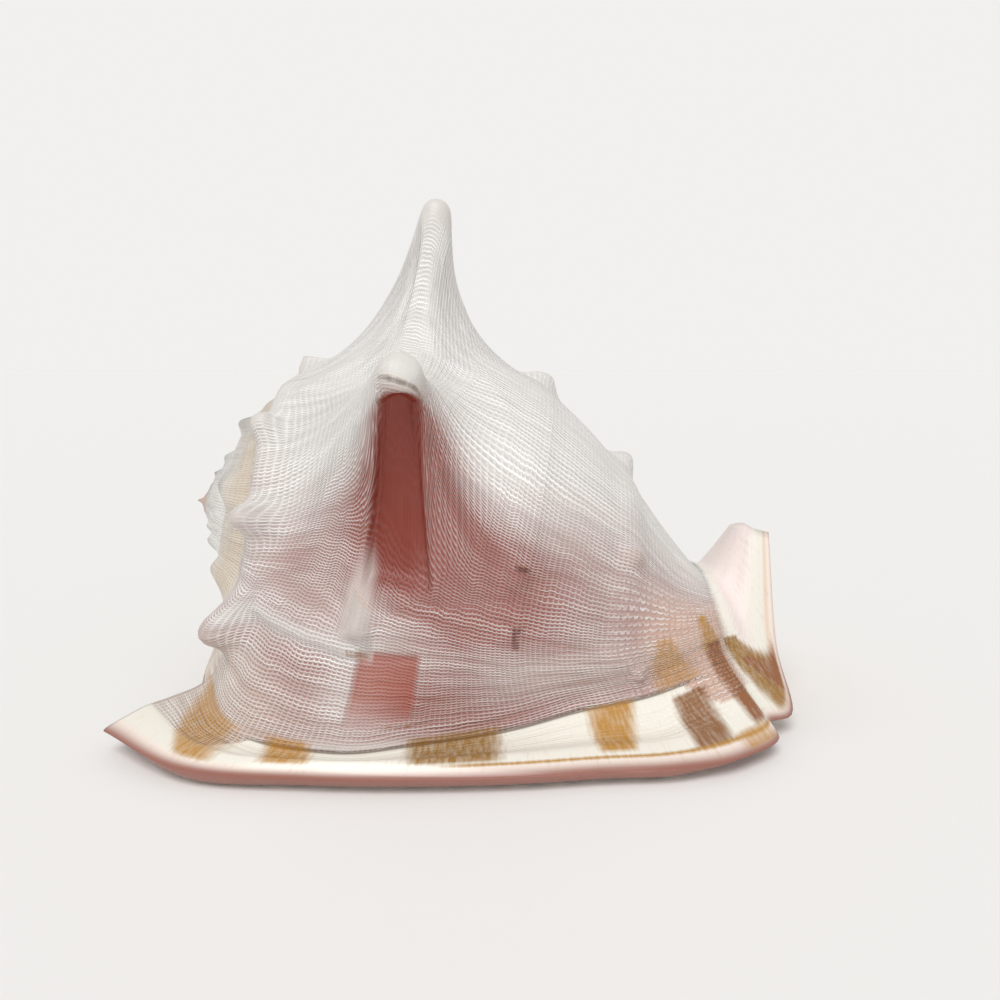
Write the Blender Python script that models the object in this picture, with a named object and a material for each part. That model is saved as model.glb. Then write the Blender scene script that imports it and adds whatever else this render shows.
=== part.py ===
"""Horned helmet shell, lying on its opening: one closed body, grown as one piece.

The surface is a loft of two sheets over the same grid. The upper sheet runs from the
outer lip over the whorl to the rim of the shield, and the lower sheet runs back from
the shield through the chamber to the lip. Each station of the loft is one section
across the shell, from the spire end (v = 0) to the tip of the siphonal canal (v = 1).
Numbers are millimetres until the mesh is made. +X is the canal end, -Y is the outer
lip, +Z is up. Angles turn about the coiling axis: 0 is the lip side, 90 the top and
180 the shield side, and the shell grows towards smaller angles.
"""
import bmesh
import bpy
import numpy as np

MM = 0.001

# ---- coiling axis and growth ----
AXIS_START = np.array((-151.0, 15.0, 83.0))
AXIS_END = np.array((115.0, 5.0, 25.0))
SPIRE_TIP = np.array((-158.0, 26.0, 80.5))
SEAM_GROWTH = 1.6              # how much farther out the seam runs after one more turn
SEAM_START_ANGLE = -35.0       # where the last whorl's seam meets the lip
SEAM_START_RADIUS = 71.0

AXIS = (AXIS_END - AXIS_START) / np.linalg.norm(AXIS_END - AXIS_START)
SIDE = np.cross((0.0, 0.0, 1.0), AXIS)
SIDE = -SIDE / np.linalg.norm(SIDE)            # from the axis to the outer lip
RISE = np.cross(AXIS, -SIDE)                   # from the axis to the top

# ---- places on the sheets ----
U_LIP_TOP, U_STRIP, U_FOOT = 0.035, 0.065, 0.10     # rolled lip, banded strip, body's edge
U_ANGLE_0, U_PER_DEGREE = 0.20, 0.003
U_FAR_FOOT, U_SHIELD, U_FAR_LIP = 0.82, 0.88, 0.955
ARC_ANGLES = (0, 30, 60, 90, 120, 150, 180)
OUTER_KNOTS = (0, U_LIP_TOP, U_STRIP, U_FOOT,
               *(U_ANGLE_0 + U_PER_DEGREE * angle for angle in ARC_ANGLES),
               U_FAR_FOOT, U_SHIELD, U_FAR_LIP, 1)
CANAL_OUTER_KNOTS = (0, U_FOOT, 0.20, 0.38, 0.56, 0.74, U_SHIELD, 1)
CANAL_INNER_KNOTS = (0, 0.065, 0.20, 0.38, 0.56, 0.74, U_SHIELD, 1)
V_HORNS, V_KNOBS, V_LOW_KNOBS = 0.25, 0.50, 0.67    # the spiral rows that carry knobs
V_STEP = (0.13, 0.18, 0.74, 0.80)      # where the body's edge steps up and down again

# ---- whorl sections: lip rim and body edge as x, y, z; whorl at 0, 90 and 180 degrees as
# ---- distance along the axis and radius; shield rim as x, y; chamber as its sweep in
# ---- degrees, wall and width, then the lip's underside from its rim and the opening
WHORL_SECTIONS = (
    (0.00, (-157, -88, 8), (-128, -58, 16), (47, 73), (36, 74), (30, 62), (-109, 80), None),
    (0.12, (-120, -111, 5.5), (-107, -94, 13), (75, 93), (64, 92), (55, 78), (-87, 102),
     (45, 15, 20, 22, 25)),
    (0.26, (-70, -118, 5), (-62, -107.5, 10), (107, 105), (93, 100.5), (84, 88), (-54, 114),
     (70, 9, 28, 22, 31)),
    (0.38, (-32, -119, 5), (-30, -104, 11.5), (134, 108), (126, 101.5), (114, 90), (-18, 116),
     (78, 10, 32, 24, 32)),
    (0.50, (8, -117, 5), (6, -95.5, 13.5), (161, 106), (155, 93), (144, 86), (20, 112),
     (74, 10, 30, 28, 29)),
    (0.59, (38, -113.5, 5), (33, -89, 18), (186, 98), (181, 78), (172, 74), (50, 100),
     (62, 11, 27, 32, 26)),
    (0.67, (66, -111, 5), (57, -83.5, 20.5), (208, 86), (202, 61.5), (196, 59), (73, 84),
     (55, 10, 23, 34, 23)),
)
# ---- canal sections: outer points from the near lip over the top to the far rim, then the
# ---- inner points between the same two rims
CANAL_SECTIONS = (
    (0.76, ((94, -102, 5), (78, -77, 25), (77, -69, 40), (80, -22, 70), (81, 30, 65), (79, 53, 36),
            (84, 57, 16), (93, 64, 7)),
     ((88, -89, 1), (82, -71, 17), (83, -52, 30), (84, -44, 20), (82, -60, 5), (89, 26, 1))),
    (0.82, ((111, -87.5, 5.5), (95, -70, 28), (92, -60, 41), (93, -24, 56), (94, 18, 49),
            (93, 34, 30), (97, 38, 15), (105, 45, 8)),
     ((105, -79, 3), (98, -64, 17), (98, -44, 28), (99, -38, 19), (100, -52, 5), (102, 14, 2))),
    (0.85, ((110.5, -79, 7.5), (98, -66, 28), (95, -58, 41), (94.5, -25, 56), (96, 14, 50),
            (96, 29, 31), (101, 33, 17), (111, 39, 11)),
     ((107, -72, 5), (101, -60, 18), (100, -42, 30), (102, -35, 21), (104, -47, 5),
      (106, 13, 3))),
    (0.88, ((122, -71, 6.5), (106, -62, 28), (100, -55, 42), (97, -26, 57), (99, 10, 50),
            (100, 25, 32), (106, 29, 18), (116, 32, 13)),
     ((119, -62, 9), (110, -53, 24), (105, -34, 37), (109, -24, 26), (112, -34, 8),
      (113, 10, 5))),
    (0.94, ((121.5, -50.5, 31), (110, -48, 44), (105, -42, 51), (101, -24, 61), (103, 2, 57),
            (108, 14, 45), (114, 17, 35), (121, 18, 30)),
     ((120, -45, 35), (112, -40, 45), (108, -24, 52), (111, -6, 47), (115, 2, 37),
      (119, 7, 28))),
    (1.00, ((123.5, -29, 72), (116, -28, 76), (113, -25, 77.5), (110, -17, 77), (111.5, -8, 74.5),
            (115, -1, 70), (119, 3, 66), (122, 6, 62)),
     ((120, -27, 72), (116, -22, 74), (114, -16, 74), (115.5, -9, 71.5), (118, -3, 67.5),
      (120.5, 1, 64))),
)
LIP_RISE = 5.0                 # height of the rolled lip above its rim
LIP_UNDERSIDE = ((3.0, 0.8), (10.0, 0.0))     # in from the rim, and height
LIP_EDGE_Z, COLUMELLA_Z = 4.0, 6.0
SHIELD_EDGE = ((5, -17, 25), (4, -12, 17), (2, -6, 12), (0, 0, 7))   # from the shield's rim
SHIELD_UNDERSIDE = (3.0, -0.2, 0.0)
POSTERIOR_Z = 9.0               # the edge below the spire
POSTERIOR_PLACES = (0, 0.15, 0.22, 0.27, 0.31, 0.35, 0.39, 0.45, 0.6, 0.8, 1)
STEP_DROP = 2.0                # the body's last layer ends this far above the strip

# ---- horns: angle, tip, base width, thickness near the tip, how far the front runs out ----
HORNS = (
    (92, (-29.5, 15, 229.5), 63, 1.08, 1.0),
    (41, (-35, -94, 152), 50, 1.15, 1.5),
    (150, (-48, 118, 122), 44, 0.9, 1.0),
    (197, (-58, 122, 40), 30, 0.9, 1.0),
)
HORN_SHAPE = np.array(((0, 0), (3.2, 0.8), (5.6, 3.5), (7, 8), (8, 14), (9.6, 22), (12.6, 33),
                       (18, 44), (26, 54), (38, 62), (52, 66.5), (66, 68)), float)
KNOB_SHAPE = np.array(((0, 0), (0.16, 0.05), (0.3, 0.2), (0.42, 0.45), (0.56, 0.72),
                       (0.75, 0.93), (1, 1)), float)
HORN_REACH = 55.0              # a horn only lifts surface this close below its base
# ---- knobs: angle, place along the shell, height, radius, lean to the canal, turn ----
KNOBS = (
    (89, 0, 7.5, 15, -0.35, 5), (46, 0.01, 5, 13, -0.6, 0), (9, 0.025, 6, 14, -0.3, -6),
    (-13, 0.03, 18, 18, -1.0, -35), (128, 0, 5, 14, -0.5, 0), (165, 0, 5, 14, -0.5, 0),
    (-9, V_HORNS, 6, 15, 0, -35),
    (165, V_KNOBS, 5, 16, 0, 0), (128, V_KNOBS, 6, 17, 0, 0), (90, V_KNOBS, 6, 16, 0.1, 0),
    (50, V_KNOBS, 2.5, 14, 0, 0), (13, V_KNOBS, 3, 13, 0, 0), (-14, V_KNOBS, 3, 12, 0, 0),
    (128, V_LOW_KNOBS, 6, 14, 0, 0), (90, V_LOW_KNOBS, 8, 14, 0.15, -12),
    (60, V_LOW_KNOBS, 2, 11, 0, 0), (28, V_LOW_KNOBS, 4, 12, 0, 0), (-20, V_LOW_KNOBS, 4, 10, 0, 0),
)
KEELS = ((0.02, 0.02, 1.0), (V_KNOBS, 0.04, 0.8), (V_LOW_KNOBS, 0.035, 1.4))
# ---- hollows in front of the horns: from angle and place, to angle and place, half width, depth
HOLLOWS = (
    ((39, 0.265), (2, 0.315), 0.058, 4.0),
    ((-14, 0.33), (-27, 0.335), 0.055, 2.0),
    ((88, 0.26), (66, 0.29), 0.040, 2.0),
)

# ---- spire: relief between two turns of the seam, from outside to inside ----
SPIRE_RELIEF = ((-0.6, 0), (-0.35, 0.9), (-0.12, -0.3), (-0.03, -0.8), (0, 0.2), (0.05, -0.6),
                (0.14, -1.2), (0.3, -0.6), (0.5, 0.2), (0.75, 0.3), (0.9, -0.4), (0.97, -0.8),
                (1.0, 0.2))
SPIRE_RELIEF_DEPTH = 0.055     # of the radius
SPIRE_KNOBS_PER_TURN = 10
SPIRE_KNOB_HEIGHT = 0.07       # of the radius
SPIRE_KNOB_PLACE = 0.13        # between two turns of the seam

# ---- teeth of the lip and the folds facing them ----
TOOTH_PITCH, TOOTH_HEIGHT, FOLD_HEIGHT = 14.5, 1.8, 1.2
TEETH_FROM, TEETH_TO = -113.0, 90.0
U_TEETH, U_FOLDS, TEETH_WIDTH = 0.09, 0.74, 0.05

# ---- grid of the loft ----
U_TOP_END, U_FAR_END = 0.60, 0.74      # the finely and the coarsely divided part of the whorl
STEP_GAP = 0.0015              # half the width of the step at the body's edge
LIP_STEPS, BODY_STEPS, TOP_STEPS, FAR_STEPS, SHIELD_STEPS = 5, 5, 24, 5, 8
SPIRE_PLACES = (0, 0.025, 0.055, 0.085)
CANAL_PLACES = (0.79, 0.82, 0.835, 0.85, 0.865, 0.88, 0.91, 0.94, 0.97, 1)
SPIRE_RINGS = 13
FLOOR_TRIM = 1.0               # what the resting edge is worn flat by


def spline(knots, values, at):
    """Values between knots, along a curve with continuous slopes."""
    knots = np.asarray(knots, float)
    values = np.asarray(values, float)
    at = np.asarray(at, float)
    slopes = np.gradient(values, knots, axis=0)
    low = np.clip(np.searchsorted(knots, at, side="right") - 1, 0, len(knots) - 2)
    span = (knots[low + 1] - knots[low]).reshape((-1,) + (1,) * (values.ndim - 1))
    t = (at - knots[low]).reshape(span.shape) / span
    return ((2 * t ** 3 - 3 * t ** 2 + 1) * values[low]
            + (t ** 3 - 2 * t ** 2 + t) * span * slopes[low]
            + (3 * t ** 2 - 2 * t ** 3) * values[low + 1]
            + (t ** 3 - t ** 2) * span * slopes[low + 1])


def bell(x):
    """1 at 0, falling smoothly to 0 at -1 and 1."""
    return (1 - np.clip(x, -1, 1) ** 2) ** 2


def ease(x):
    """0 up to 0 and 1 from 1, with a smooth climb between."""
    x = np.clip(x, 0, 1)
    return x * x * (3 - 2 * x)


def outward(angle):
    angle = np.radians(angle)
    return np.cos(angle) * SIDE + np.sin(angle) * RISE


def on_whorl(distance, radius, angle):
    return AXIS_START + distance * AXIS + radius * outward(angle)


def by_angle(values, angle):
    """A size at an angle, from its values at 0, 90 and 180 degrees."""
    near, top, far = values
    return (near * (angle - 90) * (angle - 180) / 16200 - top * angle * (angle - 180) / 8100
            + far * angle * (angle - 90) / 16200)


def whorl_outer(rim, foot, near, top, far, shield):
    """Outer points of a whorl section, from the lip's rim to the shield's rim."""
    rim, foot = np.array(rim, float), np.array(foot, float)
    lip_top = rim + 0.35 * (foot - rim)
    lip_top[2] = rim[2] + LIP_RISE
    strip = rim + 0.65 * (foot - rim)
    strip[2] = lip_top[2] + 0.25 * (foot[2] - lip_top[2])
    distances, radii = zip(near, top, far)
    arc = [on_whorl(by_angle(distances, a), by_angle(radii, a), a) for a in ARC_ANGLES]
    edge = [(shield[0] + x, shield[1] + y, z) for x, y, z in SHIELD_EDGE]
    return np.array([rim, lip_top, strip, foot, *arc, *edge])


def whorl_inner(outer, near, top, far, chamber):
    """Points under a whorl section: lip, chamber, columella and shield."""
    rim, far_rim = outer[0], outer[-1]
    sweep, wall, width, lip_width, gap = chamber
    underside = (*LIP_UNDERSIDE, (lip_width, LIP_EDGE_Z))
    lip = [(rim[0] + 0.3 * y, rim[1] + y, z) for y, z in underside]
    distances, radii = zip(near, top, far)
    turns = (0, sweep / 2, sweep)
    roof = [on_whorl(by_angle(distances, a), by_angle(radii, a) - wall, a) for a in turns]
    core = [on_whorl(by_angle(distances, a), by_angle(radii, a) - wall - width, a)
            for a in turns[::-1]]
    columella = np.array((rim[0] + 4, lip[-1][1] + gap, COLUMELLA_Z))
    shield = [columella + (far_rim - columella) * part for part in (0.35, 0.7, 0.95)]
    for point, height in zip(shield, SHIELD_UNDERSIDE):
        point[2] = height
    return np.array([rim, *lip, *roof, *core, columella, *shield, far_rim])


def spire_underside(outer):
    """The thin posterior edge: its underside follows the flange, then runs level."""
    near, far = outer[3] + (-1, -3, 0), outer[-4] + (-3, -6, 0)
    level = near + np.array(POSTERIOR_PLACES)[:, None] * (far - near)
    level[:, 2] = POSTERIOR_Z
    under = outer.copy()
    under[1:3, 2] -= (7.0, 6.5)
    under[3:3 + len(level)] = level
    return under


def control_net():
    """Station places and the outer and inner points of every section."""
    stations, outers, inners = [], [], []
    for place, rim, foot, near, top, far, shield, chamber in WHORL_SECTIONS:
        outer = whorl_outer(rim, foot, near, top, far, shield)
        if chamber:
            inner = whorl_inner(outer, near, top, far, chamber)
        else:
            inner = spire_underside(outer)
        stations.append(place)
        outers.append(outer)
        inners.append(inner)
    for place, outer, inner in CANAL_SECTIONS:
        stations.append(place)
        outers.append(spline(CANAL_OUTER_KNOTS, outer, OUTER_KNOTS))
        inner = (outer[0], *inner, outer[-1])
        inners.append(spline(CANAL_INNER_KNOTS, inner, OUTER_KNOTS))
    return stations, np.array(outers), np.array(inners)


def sheets(across, along):
    """The upper and the lower sheet at the grid's places, before horns and knobs."""
    stations, outers, inners = control_net()
    loop = np.concatenate([outers, inners[:, -2::-1]], axis=1)
    around = np.array(OUTER_KNOTS)
    around = np.concatenate([around, 2 - around[-2::-1]])
    sections = spline(stations, loop, along)
    overlap = 3
    around = np.concatenate([around[-1 - overlap:-1] - 2, around, around[1:1 + overlap] + 2])
    sections = np.concatenate([sections[:, -1 - overlap:-1], sections,
                               sections[:, 1:1 + overlap]], axis=1)
    sections = np.swapaxes(sections, 0, 1)
    return spline(around, sections, across), spline(around, sections, 2 - across)


def normals(sheet):
    """Normals of a sheet: outward on the upper one, and into the wall on the lower one."""
    facing = np.cross(np.gradient(sheet, axis=1), np.gradient(sheet, axis=0))
    length = np.linalg.norm(facing, axis=-1, keepdims=True)
    return facing / np.maximum(length, 1e-9)


def grid_point(sheet, across, along, angle, place):
    """The sheet's own grid point nearest to an angle and a place along the shell."""
    row = np.abs(across - (U_ANGLE_0 + U_PER_DEGREE * angle)).argmin()
    column = np.abs(along - place).argmin()
    return sheet[row, column]


def lift(sheet, base, tip, outline, run_out=1.0):
    """Draws the sheet up from base to tip; outline lists half widths and depths from the tip.

    The grid spreads out over the raised shape, so that its lines climb the horn as the
    growth lines do. run_out stretches the foot towards the growing edge.
    """
    up = tip - base
    height = np.linalg.norm(up)
    up = up / height
    along = AXIS - (AXIS @ up) * up
    along = along / np.linalg.norm(along)
    back = np.cross(up, along)
    offset = sheet - base
    level = offset @ up
    x = offset @ along
    y = offset @ back
    stretch = np.where(y < 0, run_out, 1.0)
    reach = np.hypot(x, y / stretch)
    widest = outline[-1, 0]
    steps = np.hypot(*np.diff(outline, axis=0).T)
    run = np.concatenate([[0], np.cumsum(steps)])
    fine = spline(run, outline, np.linspace(0, run[-1], 300))
    run = np.concatenate([[0], np.cumsum(np.hypot(*np.diff(fine, axis=0).T))])
    share = np.clip(reach / widest, 0, 1) * run[-1]
    half_width = np.interp(share, run, fine[:, 0])
    rise = height * (1 - np.interp(share, run, fine[:, 1]) / outline[-1, 1])
    climb = np.clip(rise / height, 0, 1)
    spread = half_width / np.maximum(reach, 1e-6)
    shrink = (1 + (stretch - 1) * (1 - climb)) / stretch
    moved = (sheet + up * (rise - level * climb ** 2)[..., None]
             + along * (x * (spread - 1))[..., None]
             + back * (y * (spread * shrink - 1))[..., None])
    inside = (reach < widest) & (level > -HORN_REACH)
    return np.where(inside[..., None], moved, sheet)


def horn_outline(width, thickness):
    """Half widths and depths of a horn whose foot is width across and whose tip is slim."""
    outline = HORN_SHAPE.copy()
    depth = outline[:, 1] / outline[-1, 1]
    outline[:, 0] *= thickness + (width / outline[-1, 0] - thickness) * depth ** 2
    return outline


def knob_outline(radius, height):
    return KNOB_SHAPE * (radius, height)


def ornament(sheet, across, along):
    """Keels, horns, knobs and hollows of the upper sheet."""
    angle = ((across - U_ANGLE_0) / U_PER_DEGREE)[:, None]
    place = along[None, :]
    on_body = ease((across - U_FOOT - 0.03) / 0.06)[:, None]
    raised = sum(height * bell((place - v) / half) for v, half, height in KEELS)
    sheet = sheet + normals(sheet) * (raised * on_body)[..., None]
    for at_angle, tip, width, thickness, run_out in HORNS:
        base = grid_point(sheet, across, along, at_angle, V_HORNS)
        sheet = lift(sheet, base, np.array(tip, float), horn_outline(width, thickness), run_out)
    for at_angle, at_place, height, radius, lean, turn in KNOBS:
        base = grid_point(sheet, across, along, at_angle, at_place)
        way = outward(at_angle + turn) + lean * AXIS
        tip = base + height * way / np.linalg.norm(way)
        sheet = lift(sheet, base, tip, knob_outline(radius, height))
    for (angle_a, place_a), (angle_b, place_b), half, depth in HOLLOWS:
        part = (angle_a - angle) / (angle_a - angle_b)
        middle = place_a + (place_b - place_a) * np.clip(part, 0, 1)
        floor = ease((1 - np.abs(place - middle) / half) * 2)
        hollow = depth * floor * ease(part * 5) * ease((1 - part) * 5)
        sheet = sheet - normals(sheet) * hollow[..., None]
    in_strip = ease((across - U_LIP_TOP) / (U_STRIP - U_LIP_TOP)) * (across < U_FOOT)
    start, full, fading, end = V_STEP
    along_step = ease((place - start) / (full - start)) * ease((end - place) / (end - fading))
    return sheet - normals(sheet) * (STEP_DROP * in_strip[:, None] * along_step)[..., None]


def cut_teeth(sheet, across, along):
    """Teeth under the lip and folds on the columella, one for each pitch."""
    lip_x = sheet[0, :, 0]
    wave = np.cos(2 * np.pi * (lip_x - TEETH_FROM) / TOOTH_PITCH)
    wave = wave * ease((lip_x - TEETH_FROM) / TOOTH_PITCH) * ease((TEETH_TO - lip_x) / TOOTH_PITCH)
    teeth = TOOTH_HEIGHT * bell((across - U_TEETH) / TEETH_WIDTH)
    folds = FOLD_HEIGHT * bell((across - U_FOLDS) / TEETH_WIDTH)
    depth = (teeth + folds)[:, None] * wave[None, :]
    return sheet - normals(sheet) * depth[..., None]


def spire_rings(plain, rim, rings):
    """Rings from the whorl's posterior edge in to the spire's tip, with the seam's spiral."""
    offset = plain - SPIRE_TIP
    distance, x, y = offset @ AXIS, offset @ SIDE, offset @ RISE
    radius = np.hypot(x, y)
    angle = np.degrees(np.unwrap(np.arctan2(y, x)))
    seam = SEAM_START_RADIUS * SEAM_GROWTH ** (-(angle - SEAM_START_ANGLE) / 360)
    above = ease((np.sin(np.radians(angle)) + 0.55) / 0.4)
    phases, relief = zip(*SPIRE_RELIEF)
    found = []
    for ring in range(1, rings):
        part = (1 - ring / rings) ** 1.1
        reach = radius * part
        turns = np.log(seam / reach) / np.log(SEAM_GROWTH)
        phase = np.where(turns < 0, turns, turns - np.floor(turns))
        form = np.interp(phase, phases, relief) * SPIRE_RELIEF_DEPTH
        whole = 360 * np.floor(turns)
        beat = np.cos(np.radians((angle - whole - 95) * SPIRE_KNOBS_PER_TURN))
        knob = np.maximum(beat, 0) ** 1.5 * bell((phase - SPIRE_KNOB_PLACE) / 0.16)
        form = (form - SPIRE_KNOB_HEIGHT * knob) * reach * above * ease((1 - part) * 12)
        along = distance * part ** (0.65 + 0.35 * above) + form
        blend = ease(1 - (1 - part) / 0.2)
        found.append(SPIRE_TIP + along[:, None] * AXIS
                     + (reach / radius * x)[:, None] * SIDE + (reach / radius * y)[:, None] * RISE
                     + (rim - plain) * blend)
    return found


def close_shell(upper, lower, plain_upper, across, rings):
    """One closed body from the two sheets: points and faces."""
    rows, columns = upper.shape[:2]
    points = [*upper.reshape(-1, 3), *lower.reshape(-1, 3)]
    top = np.arange(rows * columns).reshape(rows, columns)
    under = top + rows * columns
    under[0], under[-1] = top[0], top[-1]
    faces = []
    for k in range(rows - 1):
        for j in range(columns - 1):
            faces.append((top[k, j], top[k, j + 1], top[k + 1, j + 1], top[k + 1, j]))
            faces.append((under[k, j], under[k + 1, j], under[k + 1, j + 1], under[k, j + 1]))
        faces.append((top[k, -1], under[k, -1], under[k + 1, -1], top[k + 1, -1]))
    first = int(np.searchsorted(across, U_FOOT))
    last = int(np.searchsorted(across, U_FAR_FOOT))
    for k in (*range(first), *range(last, rows - 1)):
        faces.append((top[k, 0], top[k + 1, 0], under[k + 1, 0], under[k, 0]))
    ring = [*top[first:last + 1, 0], *under[first:last + 1, 0][::-1]]
    rim = np.array([points[i] for i in ring])
    plain = np.concatenate([plain_upper[first:last + 1, 0], lower[first:last + 1, 0][::-1]])
    for inner in spire_rings(plain, rim, rings):
        start = len(points)
        points.extend(inner)
        new_ring = list(range(start, start + len(ring)))
        for a in range(len(ring)):
            b = (a + 1) % len(ring)
            faces.append((ring[a], ring[b], new_ring[b], new_ring[a]))
        ring = new_ring
    points.append(SPIRE_TIP - 2 * AXIS)
    for a in range(len(ring)):
        faces.append((ring[a], ring[(a + 1) % len(ring)], len(points) - 1))
    return np.array(points), [tuple(dict.fromkeys(int(i) for i in face)) for face in faces]


def stand_on_floor(points):
    """Rests the body on its worn-flat edges, with the origin under its box's middle."""
    points = points.copy()
    points[:, 2] = np.maximum(points[:, 2] - points[:, 2].min() - FLOOR_TRIM, 0)
    middle = (points.min(axis=0) + points.max(axis=0)) / 2
    return points - (middle[0], middle[1], 0), middle


def grid_places():
    """Where the grid's lines run: across the section, and along the shell on the teeth."""
    across = np.concatenate([
        np.linspace(0, U_FOOT - STEP_GAP, LIP_STEPS),
        np.linspace(U_FOOT + STEP_GAP, U_ANGLE_0, BODY_STEPS),
        np.linspace(U_ANGLE_0, U_TOP_END, TOP_STEPS + 1)[1:],
        np.linspace(U_TOP_END, U_FAR_END, FAR_STEPS + 1)[1:],
        np.linspace(U_FAR_END, 1, SHIELD_STEPS + 1)[1:]])
    stations = [section[0] for section in WHORL_SECTIONS] + [s[0] for s in CANAL_SECTIONS]
    rims = [section[1][0] for section in WHORL_SECTIONS] + [s[1][0][0] for s in CANAL_SECTIONS]
    crests = np.arange(TEETH_FROM, TEETH_TO + 1, TOOTH_PITCH / 2)
    along = np.interp(crests, rims[:8], stations[:8])
    return across, np.concatenate([SPIRE_PLACES, along, CANAL_PLACES])


def shell_surface(across, along, rings):
    """Points and faces of the whole shell in its own frame, and the middle of its box."""
    plain, lower = sheets(across, along)
    upper = ornament(plain, across, along)
    upper[0], upper[-1] = lower[0], lower[-1]
    lower = cut_teeth(lower, across, along)
    points, faces = close_shell(upper, lower, plain, across, rings)
    points, middle = stand_on_floor(points)
    return points, faces, middle


def shell_material():
    material = bpy.data.materials.new("shell")
    material.use_nodes = True
    surface = material.node_tree.nodes["Principled BSDF"]
    surface.inputs["Base Color"].default_value = (0.80, 0.74, 0.67, 1)
    surface.inputs["Roughness"].default_value = 0.45
    surface.inputs["Metallic"].default_value = 0
    return material


def make_shell(collection):
    across, along = grid_places()
    points, faces, _ = shell_surface(across, along, SPIRE_RINGS)
    mesh = bpy.data.meshes.new("shell")
    mesh.from_pydata((points * MM).tolist(), [], faces)
    body = bmesh.new()
    body.from_mesh(mesh)
    bmesh.ops.triangulate(body, faces=body.faces)
    bmesh.ops.recalc_face_normals(body, faces=body.faces)
    body.to_mesh(mesh)
    body.free()
    mesh.shade_smooth()
    mesh.materials.append(shell_material())
    collection.objects.link(bpy.data.objects.new("shell", mesh))


def main():
    for old in list(bpy.data.objects):
        bpy.data.objects.remove(old, do_unlink=True)
    collection = bpy.data.collections.new("horned_helmet_shell")
    bpy.context.scene.collection.children.link(collection)
    make_shell(collection)


main()
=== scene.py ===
# %% [markdown]
# # A horned helmet shell
# A horned helmet is a large sea snail's shell. The snail adds shell along one edge, so
# the whole thing is a record of that edge: growth lines run across it, spiral threads
# run round it, and every so often the edge swells into a knob or a horn. This lesson
# builds the shell as one closed surface that keeps those two directions as coordinates,
# because relief and colour both follow them.
#
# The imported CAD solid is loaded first. It is the shell's true size and place, and the
# dressed surface made here replaces it in the picture.

import bpy
import numpy as np
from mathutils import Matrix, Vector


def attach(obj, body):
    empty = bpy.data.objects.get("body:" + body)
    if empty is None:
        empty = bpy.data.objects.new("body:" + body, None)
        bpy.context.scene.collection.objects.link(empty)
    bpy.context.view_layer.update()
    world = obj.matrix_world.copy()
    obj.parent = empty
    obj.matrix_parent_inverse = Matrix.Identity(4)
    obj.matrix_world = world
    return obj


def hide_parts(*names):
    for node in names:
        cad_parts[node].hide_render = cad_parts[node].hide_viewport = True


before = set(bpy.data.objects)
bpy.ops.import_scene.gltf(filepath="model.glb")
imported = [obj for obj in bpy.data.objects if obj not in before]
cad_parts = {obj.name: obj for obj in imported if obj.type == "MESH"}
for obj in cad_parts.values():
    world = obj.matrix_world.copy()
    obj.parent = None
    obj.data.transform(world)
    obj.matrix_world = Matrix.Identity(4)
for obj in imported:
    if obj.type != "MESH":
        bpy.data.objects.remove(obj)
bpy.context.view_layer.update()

# %% [markdown]
# ## The camera
# The camera stands a forearm's length from the lip, a little above the shell's middle,
# and looks ten degrees down. A camera could be framed by eye in the viewport. Here it is
# given its place in metres, so that the shell keeps its size in the frame.

# %% Camera
CAMERA_PLACE, CAMERA_TILT, LENS_MM = (0.0182, -0.3665, 0.1512), 80, 27.04
bpy.ops.object.camera_add(location=CAMERA_PLACE, rotation=(np.radians(CAMERA_TILT), 0, 0))
camera = bpy.context.object
camera.name = "camera"
camera.data.lens = LENS_MM
bpy.context.scene.camera = camera
print("camera at", [round(c, 3) for c in camera.location])

# %% [markdown]
# ## Floor and light
# A pale floor runs far behind the shell and takes its shadow. The shell is lit as in a
# small studio: a very broad lamp above and in front, a weaker one low in front, and light
# from all round. Area lamps close by would leave the floor's far part dark, so both lamps
# are suns with a wide angle, which are just as soft and light the floor evenly.

# %% Helpers for colours and material nodes
def linear(hex_colour):
    """A colour written as sRGB hex, as linear red, green and blue."""
    channels = np.array([int(hex_colour[i:i + 2], 16) for i in (0, 2, 4)]) / 255
    return np.where(channels <= 0.04045, channels / 12.92, ((channels + 0.055) / 1.055) ** 2.4)


def add_node(tree, kind, settings=(), links=()):
    """Adds a node to a tree; names are settings, numbers are inputs, links feed inputs."""
    node = tree.nodes.new(kind)
    for name, value in dict(settings).items():
        if isinstance(name, int) or name in node.inputs:
            node.inputs[name].default_value = value
        else:
            setattr(node, name, value)
    for name, socket in dict(links).items():
        tree.links.new(socket, node.inputs[name])
    return node


print("white:", linear("FFFFFF"))

# %% Floor
FLOOR_SIZE = 60.0
FLOOR_COLOUR = "F1F0EE"
bpy.ops.mesh.primitive_plane_add(size=FLOOR_SIZE, location=(0, 1.0, 0))
floor = bpy.context.object
floor.name = "floor"
floor_paper = bpy.data.materials.new("matte_paper_floor")
floor_paper.use_nodes = True
paper = floor_paper.node_tree.nodes["Principled BSDF"]
paper.inputs["Base Color"].default_value = (*linear(FLOOR_COLOUR), 1)
paper.inputs["Roughness"].default_value = 0.9
floor.data.materials.append(floor_paper)
print("floor, m:", FLOOR_SIZE)

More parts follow.
